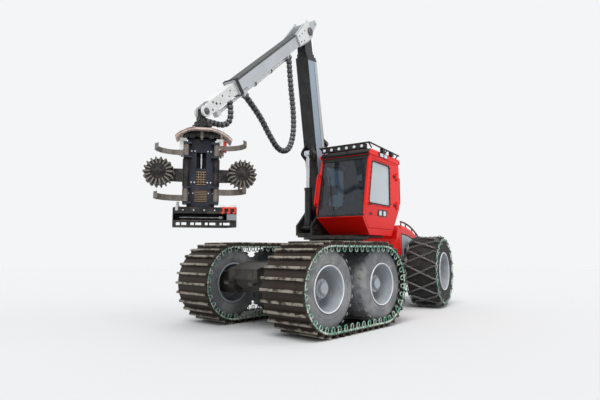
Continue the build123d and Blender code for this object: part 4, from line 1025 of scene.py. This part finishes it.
for label, side in (("right", -1), ("left", 1)):
    y0, y1 = side * 149, side * 154
    fit("boom_side_plate_" + label, [box(470, 3330, y0, y1, -168, 58)], boom_side, BOOM, "boom")
    fit("boom_side_strip_" + label, [box(470, 3330, y0, y1, 76, 168)], jib_enamel, BOOM, "boom")


def pin_cap(centre, axis, radius):
    """Turned cap over the end of a pin."""
    profile = [(0, 0), (radius, 0), (radius, 10), (radius * 0.8, 17), (0, 17)]
    return turned(profile, centre, axis, 40)


shapes = []
for side in (-1, 1):
    for x, y, z, r in (
        (0, 152, 0, 84), (1350, 147, -270, 56), (1550, 131, 340, 50), (ELBOW_AT, 172, 0, 86)
    ):
        shapes.append(pin_cap((x, side * y, z), (0, side, 0), r))
    for x in (600, 940, 1200, 1860, 2320, 2780, 3240):
        y = side * (40 if x < 1500 else 108)
        shapes.append(box(x, x + 26, y - 20, y + 20, 179, 200))
fit("boom_pin_caps", shapes, bolt_steel, BOOM, "boom")
shapes = [rod((520, y, 192), (1330, y, 192), 9, 10) for y in (-52, -28, 28, 52)]
shapes += [rod((1780, y, 188), (3340, y, 188), 9, 10) for y in (-120, -97, 97, 120)]
for z in (-60, 0, 60):
    shapes.append(rod((480, -163, z), (3380, -163, z), 10, 10))
    shapes += [box(x, x + 30, -176, -150, z - 20, z + 20) for x in (640, 1240, 1840, 2440, 3040)]
fit("boom_pipes", shapes, trim_black, BOOM, "boom")

shapes = [box(420, 2860, -119, 119, 121, 126)]
shapes += [box(440, 2860, side * 119, side * 123, 92, 123) for side in (-1, 1)]
fit("jib_wear_strips", shapes, steel_top, JIB, "jib")

CHEEK = [
    (-20, -105), (120, -135), (540, -112), (540, 112), (150, 180), (-18, 250), (-92, 215),
    (-60, 60), (-96, -40),
]
cheeks = [plate(CHEEK, side * 149, side * 156) for side in (-1, 1)]
fit("knuckle_cheek_plates", cheeks, white_enamel, JIB, "jib")
shapes = []
for side in (-1, 1):
    for x, z in ((470, 60), (470, -60), (330, 70), (330, -80), (200, 90)):
        shapes.append(bolt((x, side * 155, z), (0, side, 0), 13))
    shapes.append(pin_cap((0, side * 156, 0), (0, side, 0), 74))
    shapes += [bolt((x, side * 122, -96), (0, side, 0), 9) for x in range(2700, 2860, 44)]
fit("knuckle_bolts_and_caps", shapes, bolt_steel, JIB, "jib")

shapes = [
    box(2862, 2936, -144, 144, 138, 146),
    box(2862, 2936, -144, 144, -146, -138),
    box(2862, 2936, 136, 144, -146, 146),
    box(2862, 2936, -144, -136, -146, 146),
]
for y in (-90, -30, 30, 90):
    shapes += [rod((2899, y, z0), (2899, y, z0 + 8), 12, 12) for z0 in (146, -154)]
fit("jib_collar_rubber", shapes, seal_rubber, JIB, "jib")

# The extension's holes are drawn as thin discs in the black rubber finish: painted shade where the
# hollow inside shows.
TIP_HOLES = [
    (3120, 30, 15), (3200, -36, 12), (3350, 40, 15), (3480, -40, 15), (3560, 0, 22),
    (3620, 52, 17), (3700, -46, 17),
]
holes = []
for side in (-1, 1):
    for x, z, r in TIP_HOLES:
        holes.append(turned([(0, 0), (r, 0), (r, 2), (0, 2)], (x, side * 95, z), (0, side, 0), 20))
fit("extension_holes", holes, seal_rubber, JIB, "extension")
caps = [pin_cap((TIP_AT, side * 95, 0), (0, side, 0), 54) for side in (-1, 1)]
fit("tip_pin_caps", caps, bolt_steel, JIB, "extension")
CLAMP = [(40, -14), (52, -14), (52, 14), (40, 14)]
shapes = [box(2734, 2866, 44, 136, -217, -204), box(984, 1116, 44, 136, -197, -184)]
shapes += [turned(CLAMP, (x, 0, -175), (1, 0, 0), 32) for x in (1080, 1700, 2310)]
fit("jib_hose_clamps", shapes, bolt_steel, JIB, "jib")


# Hoses
# Two bundles of high-pressure hose in black rubber, each inside a row of sleeves: one loops
# from the elbow to the end of the jib, the other drops from the tip to the hanging link.
# Moulded rubber, black and satin; the plastic sleeves over it catch bright glints.
rubber = finish("black hose rubber", "#141517", "#54514a", 0.2, 0.42)
guard_black = finish("black sleeve guard", "#303338", "#8a877e", 0.35, 0.28, shine=0.7)
JIB_HOSE_MM = 46
HEAD_HOSE_MM = 40
JIB_SLEEVE = 88
HEAD_SLEEVE = 72
HOSE_Y = -0.390
JIB_HOSE = [
    (1.182, 5.205),
    (1.120, 4.640),
    (1.010, 4.110),
    (1.010, 3.640),
    (1.180, 3.290),
    (1.500, 3.230),
    (1.800, 3.470),
    (2.110, 3.800),
    (2.490, 4.030),
]
HEAD_HOSE = [
    (2.868, -0.413, 3.826),
    (2.842, -0.404, 3.640),
    (2.880, -0.410, 3.470),
    (3.010, -0.440, 3.400),
    (3.180, -0.470, 3.400),
    (3.340, -0.480, 3.400),
]
IN_METRES = Matrix.Scale(MM, 4) @ SUPER @ Matrix.Scale(1 / MM, 4)
SLEEVE_LINE = line_tree("set along a hose", "Z", "AUTO")


def hose_line(name, route, radius):
    """Smooth curve of a hose through its route, given in the upper's frame in metres."""
    line = bpy.data.curves.new(name, "CURVE")
    line.dimensions = "3D"
    line.resolution_u = 16
    spline = line.splines.new("NURBS")
    spline.points.add(len(route) - 1)
    for point, spot in zip(spline.points, route):
        point.co = (*(IN_METRES @ Vector(spot)), 1.0)
    spline.order_u = 3
    spline.use_endpoint_u = True
    line.bevel_depth = radius * MM
    line.bevel_resolution = 6
    line.use_fill_caps = True
    return stand(name, line)


def centreline(hose):
    """Points along a hose, read from its curve without thickness, in mm."""
    bare = hose.data.copy()
    bare.bevel_depth = 0.0
    carrier = stand("bare", bare)
    points = [vertex.co / MM for vertex in as_mesh(carrier).vertices]
    bpy.data.objects.remove(carrier)
    return points


def sleeves_on(name, points, radius, step):
    """Short sleeves, one after another along a hose, and the hose's length in metres."""
    run = sum((b - a).length for a, b in zip(points, points[1:]))
    half = step * 0.36
    profile = [
        (radius - 4, -half),
        (radius + 7, -half),
        (radius + 11, -half * 0.7),
        (radius + 11, half * 0.7),
        (radius + 7, half),
        (radius - 4, half),
    ]
    sleeve = turned(profile, axis=(0, 0, 1), sides=22)
    row = row_of([sleeve], points, False, int(run / step), guard_black, SLEEVE_LINE)
    return fit(name, row, guard_black, Matrix.Identity(4), None), run * MM


route = [(u, HOSE_Y, z) for u, z in JIB_HOSE]
hose = hose_line("jib_hose_rubber", route, JIB_HOSE_MM)
hose.data.materials.append(rubber)
sleeves, length = sleeves_on("jib_hose_guard", centreline(hose), JIB_HOSE_MM, JIB_SLEEVE)
for piece in (hose, sleeves):
    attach(piece, "jib")
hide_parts("boom_hose")

line = hose_line("head_hose_line", HEAD_HOSE, HEAD_HOSE_MM)
middle = centreline(line)
sleeves, length = sleeves_on("head_hose_guard", middle, HEAD_HOSE_MM, HEAD_SLEEVE)
tube = as_mesh(line)
bpy.data.objects.remove(line)
tube.transform(Matrix.Scale(1 / MM, 4))
hose = fit("head_hose_rubber", tube, rubber, Matrix.Identity(4), None)
for piece in (hose, sleeves):
    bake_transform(piece)


# Rotator and hanging link
# The cast link and hydraulic rotator between the crane's tip and the head, in worn black,
# with hose ends screwed in round the collar.
HANG_AT = (3430, BOOM_Y, 0)
LINK_PIN_Z = 3400
HANG = SUPER @ Matrix.Translation(HANG_AT)
dress(boom_black, "tip_link", "rotator")
inner = spots_round((0, 0, 3290), 118, 8, 0.3)
outer = spots_round((0, 0, 3290), 150, 8, 0.3)
shapes = [rod(start, end, 14, 12) for start, end in zip(inner, outer)]
for side in (-1, 1):
    cap = [(0, 0), (40, 0), (40, 8), (0, 8)]
    shapes.append(turned(cap, (side * 84, 0, LINK_PIN_Z), (side, 0, 0), 24))
fit("rotator_fittings", shapes, bolt_steel, HANG, "rotator")
shapes = [
    rod((-112, 0, LINK_PIN_Z), (-84, 0, LINK_PIN_Z), 34, 6),
    rod((-84, 0, LINK_PIN_Z), (-80, 0, LINK_PIN_Z), 26),
]
fit("hose_swivel", shapes, bolt_steel, HANG, "tip_link")


# Felling head
# A welded navy frame open towards the stem, under a curved cover that dust has turned
# pinkish white; its plates are held by bright bolts round a slot and two grids.
HEAD_TURN = 46
HEAD = HANG @ Matrix.Rotation(math.radians(HEAD_TURN), 4, "Z")
# Enamels scuffed by bark: deep navy and black on the frame, white and orange-red on covers
# and guards. Zinc plating keeps the bolts bright; grid bars and knives are bare forged
# steel under dried resin.
navy = finish("navy head enamel", "#1c2230", "#5a5148", 0.3, 0.42, coat=0.1, patch=142.9)
head_black = finish("scuffed black head enamel", "#141518", "#6b6258", 0.4, 0.45, patch=125.0)
cover_dusty = finish("pinkish dusty cover enamel", "#c9b7ae", "#8e7468", 0.65, 0.55, patch=100.0)
cover_white = finish("white cover enamel", "#dfe1de", "#a39c90", 0.3, 0.4, patch=125.0)
bright_bolt = finish("bright plated bolts", "#cfd2d4", "#8b867c", 0.2, 0.3, metal=0.5)
signal_red = finish("orange-red guard enamel", "#d8361a", "#8a5040", 0.2, 0.35, coat=0.3)
grid_tan = finish("dusty grid bars", "#8a7562", "#5a4a3c", 0.6, 0.6, patch=50.0)
knife_steel = finish("dirty knife steel", "#77726b", "#5d493d", 0.8, 0.4, metal=0.45, patch=111.1)
dress(navy, "head_frame")
dress(head_black, "saw_box", "feed_arm_left", "feed_arm_right")
dress(cover_dusty, "tilt_frame")
RIGHT_COVER = [(150, 3233), (262, 3206), (402, 3132), (470, 3064)]
LEFT_COVER = [(-402, 3088), (-332, 3152), (-202, 3217), (-108, 3236)]


def sheet_strip(outline, thick):
    """Bent cover sheet that follows a line of points in y and z, this thick upwards."""
    shapes = []
    for (ya, za), (yb, zb) in zip(outline, outline[1:]):
        face = [(-206, ya, za), (-206, yb, zb), (-206, yb, zb + thick), (-206, ya, za + thick)]
        shapes.append(prism(face, (388, 0, 0)))
    return shapes


fit("head_cover_right", sheet_strip(RIGHT_COVER, 9), cover_white, HEAD, "tilt")
fit("head_cover_left", sheet_strip(LEFT_COVER, 8), cover_dusty, HEAD, "tilt")
shapes = []
for side, z0 in ((-1, 2870), (1, 2900)):
    shapes.append(box(66, 78, side * 228, side * 334, z0, 3080))
    shapes.append(box(-70, 70, side * 322 - 4, side * 322 + 4, 2930, 3090))
fit("tilt_side_plates", shapes, cover_white, HEAD, "tilt")
shapes = [
    box(24, 64, -288, 288, 3114, 3206),
    box(-190, 64, -288, 288, 3160, 3206),
    box(-206, -198, -288, 288, 3116, 3206),
    box(40, 90, -190, -110, 3085, 3150),
    box(40, 90, 110, 190, 3085, 3150),
]
fit("tilt_cross_plate", shapes, head_black, HEAD, "tilt")
shapes = [rod((72, 0, 3085), (72, 0, 3190), 30), rod((72, 0, 3060), (72, 0, 3090), 18)]
fit("tilt_ram", shapes, knife_steel, HEAD, "tilt")
shapes = [
    box(-40, 60, 338, 372, 2905, 3040),
    rod((20, 355, 2880), (20, 355, 3060), 34),
    box(-60, 40, 255, 345, 3186, 3222),
]
fit("red_hose_guard", shapes, signal_red, HEAD, "tilt")
shapes = []
for side in (-1, 1):
    shapes.append(pin_cap((-130, side * 336, 2890), (0, side, 0), 58))
    shapes += [bolt((79, side * 280, z), (1, 0, 0), 13) for z in (2915, 3040)]
for y, z in ((-330, 3150), (-240, 3200), (240, 3200), (330, 3150)):
    shapes.append(bolt((150, y, z), (0, 0, 1), 12))
fit("tilt_pin_caps", shapes, bright_bolt, HEAD, "tilt")

# The face towards the stem: plates round a long slot, two grids and a row of bolts.
FACE = -46
shapes = [
    box(-60, FACE, -78, 78, 2880, 2970),
    box(-60, FACE, -78, 78, 2590, 2625),
    box(-60, FACE + 2, -212, 212, 2280, 2350),
    box(-60, FACE, -98, 98, 2020, 2088),
    box(-334, -322, -190, 190, 2140, 2940),
    box(-200, -62, -196, 196, 3058, 3098),
    box(-62, FACE, -214, 214, 2968, 3098),
]
for side in (-1, 1):
    shapes += [
        box(-60, FACE, side * 76, side * 214, 2330, 2970),
        box(-60, FACE, side * 96, side * 214, 2020, 2290),
        box(-62, -38, side * 116, side * 194, 2040, 2060),
        box(-320, -150, side * 214, side * 222, 2360, 2740),
    ]
fit("head_face_plates", shapes, navy, HEAD, "head")
SLOT_GRID = [box(-8, 8, -78, 78, -6, 6)]
LOW_GRID = [box(-7, 7, -98, 98, -6, 6)]
grid = row_of(SLOT_GRID, [(-58, 0, 2370), (-58, 0, 2570)], False, 6, grid_tan)
low_grid = row_of(LOW_GRID, [(-56, 0, 2105), (-56, 0, 2265)], False, 7, grid_tan)
bars = joined([box(-60, -50, y - 5, y + 5, 2360, 2585) for y in (-40, 0, 40)])
fit("head_grids", together([grid, low_grid, bars]), grid_tan, HEAD, "head")
shapes = [rod((-120, 0, 2600), (-120, 0, 2890), 22), rod((-120, 0, 2700), (-120, 0, 2790), 30)]
fit("slot_cylinder", shapes, chrome, HEAD, "head")
shapes = [bolt((FACE, y, z), (1, 0, 0), 15) for y in (-150, -100, 100, 150) for z in (2400, 2900)]
shapes += [bolt((FACE, y, 2230), (1, 0, 0), 13) for y in (-190, -120, 120, 190)]
shapes += [bolt((-334, y, z), (-1, 0, 0), 14) for y in (-150, 0, 150) for z in (2180, 2540, 2900)]
fit("head_face_bolts", shapes, bright_bolt, HEAD, "head")
shapes = []
for y in (-120, -60, 60, 120):
    shapes += bent_bar([(-345, y, 2240), (-345, y, 2860), (-326, y, 2900)], 11, 10)
for y in (-120, 60):
    shapes += [box(-360, -334, y - 18, y + 78, z, z + 26) for z in (2380, 2700)]
shapes.append(box(-372, -330, -90, 90, 2060, 2120))
fit("head_back_pipes", shapes, head_black, HEAD, "head")


# Feed rollers
# Cast steel drums with ridges along them and rows of pointed teeth, rubbed bright where
# they grip bark, driven by a motor in the end of each arm.
ROLLER_Y = 620
ROLLER_X = 200
ROLLER_Z = 2500
RIDGES = 18
TOOTH_R = 212
SPOKE_R = 158
TOOTH = (
    [(-13, -11, 0), (13, -11, 0), (13, 11, 0), (-13, 11, 0), (0, 0, 17)],
    [(0, 3, 2, 1), (0, 1, 4), (1, 2, 4), (2, 3, 4), (3, 0, 4)],
)
SPOKE = prism([(-9, 0, -42), (9, 0, -42), (13, 0, 52), (-13, 0, 52)], (0, 17, 0))
CAP_RIM = [(56, 158), (98, 150), (112, 150), (116, 140), (56, 140)]
CAP_HUB = [(0, 158), (44, 158), (50, 166), (30, 172), (0, 172)]
# Hardened cast steel, almost black with oil; only the teeth are rubbed to grey metal.
roller_steel = finish(
    "dark feed roller steel", "#1b1b1c", "#5d534a", 0.5, 0.5, metal=0.3, patch=71.4
)
tooth_steel = finish("rubbed tooth steel", "#77726b", "#3a332c", 0.5, 0.4, metal=0.6, patch=50.0)
dress(roller_steel, "feed_roller_left", "feed_roller_right")
UPRIGHT = Matrix.Rotation(math.radians(-90), 4, "Z")
for label, side in SIDES:
    at = HEAD @ Matrix.Translation((ROLLER_X, side * ROLLER_Y, ROLLER_Z)) @ UPRIGHT
    rows = [(TOOTH, TOOTH_R, step) for step in (-90, -40, 10, 60, 110)]
    rows += [(SPOKE, SPOKE_R, step) for step in (148, -128)]
    teeth = []
    for shape, radius, step in rows:
        path = circle(radius, (0, step, 0), 180)
        teeth.append(row_of([shape], path, True, RIDGES, tooth_steel))
    fit("roller_teeth_" + label, together(teeth), tooth_steel, at, "feed_roller_" + label)
    cap = [turned(CAP_RIM, sides=40), turned(CAP_HUB, sides=32)]
    cap += [bolt(spot, (0, 1, 0), 10) for spot in circle(82, (0, 152, 0), 8)]
    fit("roller_cap_" + label, cap, roller_steel, at, "feed_roller_" + label)


# Delimbing knives and saw box
# Forged curved knives, dirty silver with resin and bark; below them the saw's box with
# white, grey and red guards bolted to its open corner and a tube cage underneath.
# Ground saw-bar steel, bright under smears; the grey guard has plain satin enamel.
saw_steel = finish("saw bar steel", "#a8aaac", "#5e5348", 0.4, 0.3, metal=0.9, patch=83.3)
grey_plate = finish("grey guard enamel", "#878c91", "#6c665c", 0.4, 0.4)
dress(knife_steel, "upper_knife_left", "upper_knife_right", "lower_knife_left", "lower_knife_right")
dress(saw_steel, "saw_bar")

shapes = [box(58, 72, 300, 552, 2008, 2046), box(-20, 70, 300, 552, 2005, 2014)]
fit("saw_guard_white", shapes, cover_white, HEAD, "head")
HOOK = [
    (0, 2010), (34, 2010), (40, 1925), (12, 1895), (-18, 1920), (-6, 1936), (10, 1930), (10, 1990)
]
shapes = [prism([(64, y + a, b) for a, b in HOOK], (16, 0, 0)) for y in (330, 420, 510)]
shapes.append(box(62, 76, 322, 556, 1985, 2008))
fit("saw_guard_red_hooks", shapes, signal_red, HEAD, "head")
shapes = [box(60, 68, 408, 558, 1806, 1900), box(-116, -60, 556, 566, 1720, 1990)]
fit("saw_guard_grey", shapes, grey_plate, HEAD, "head")
shapes = [rod((70, -296, z), (70, 548, z), 13, 12) for z in (1712, 1792)]
shapes += [rod((70, y, 1712), (70, y, 1792), 12, 12) for y in (-290, -80, 130, 340, 540)]
shapes.append(rod((-338, -410, 1716), (-338, 410, 1716), 12, 12))
fit("saw_cage_tubes", shapes, head_black, HEAD, "head")
shapes = [bolt((60, y, 1955), (1, 0, 0), 13) for y in (-260, -100, 60, 220)]
shapes += [bolt((-330, y, 1955), (-1, 0, 0), 13) for y in (-300, 0, 300)]
fit("saw_box_bolts", shapes, bright_bolt, HEAD, "head")
shapes = [
    rod((-10, -345, 2020), (-10, -345, 2085), 22),
    rod((-10, -345, 1950), (-10, -345, 2022), 34),
]
fit("saw_feed_ram", shapes, cover_white, HEAD, "head")
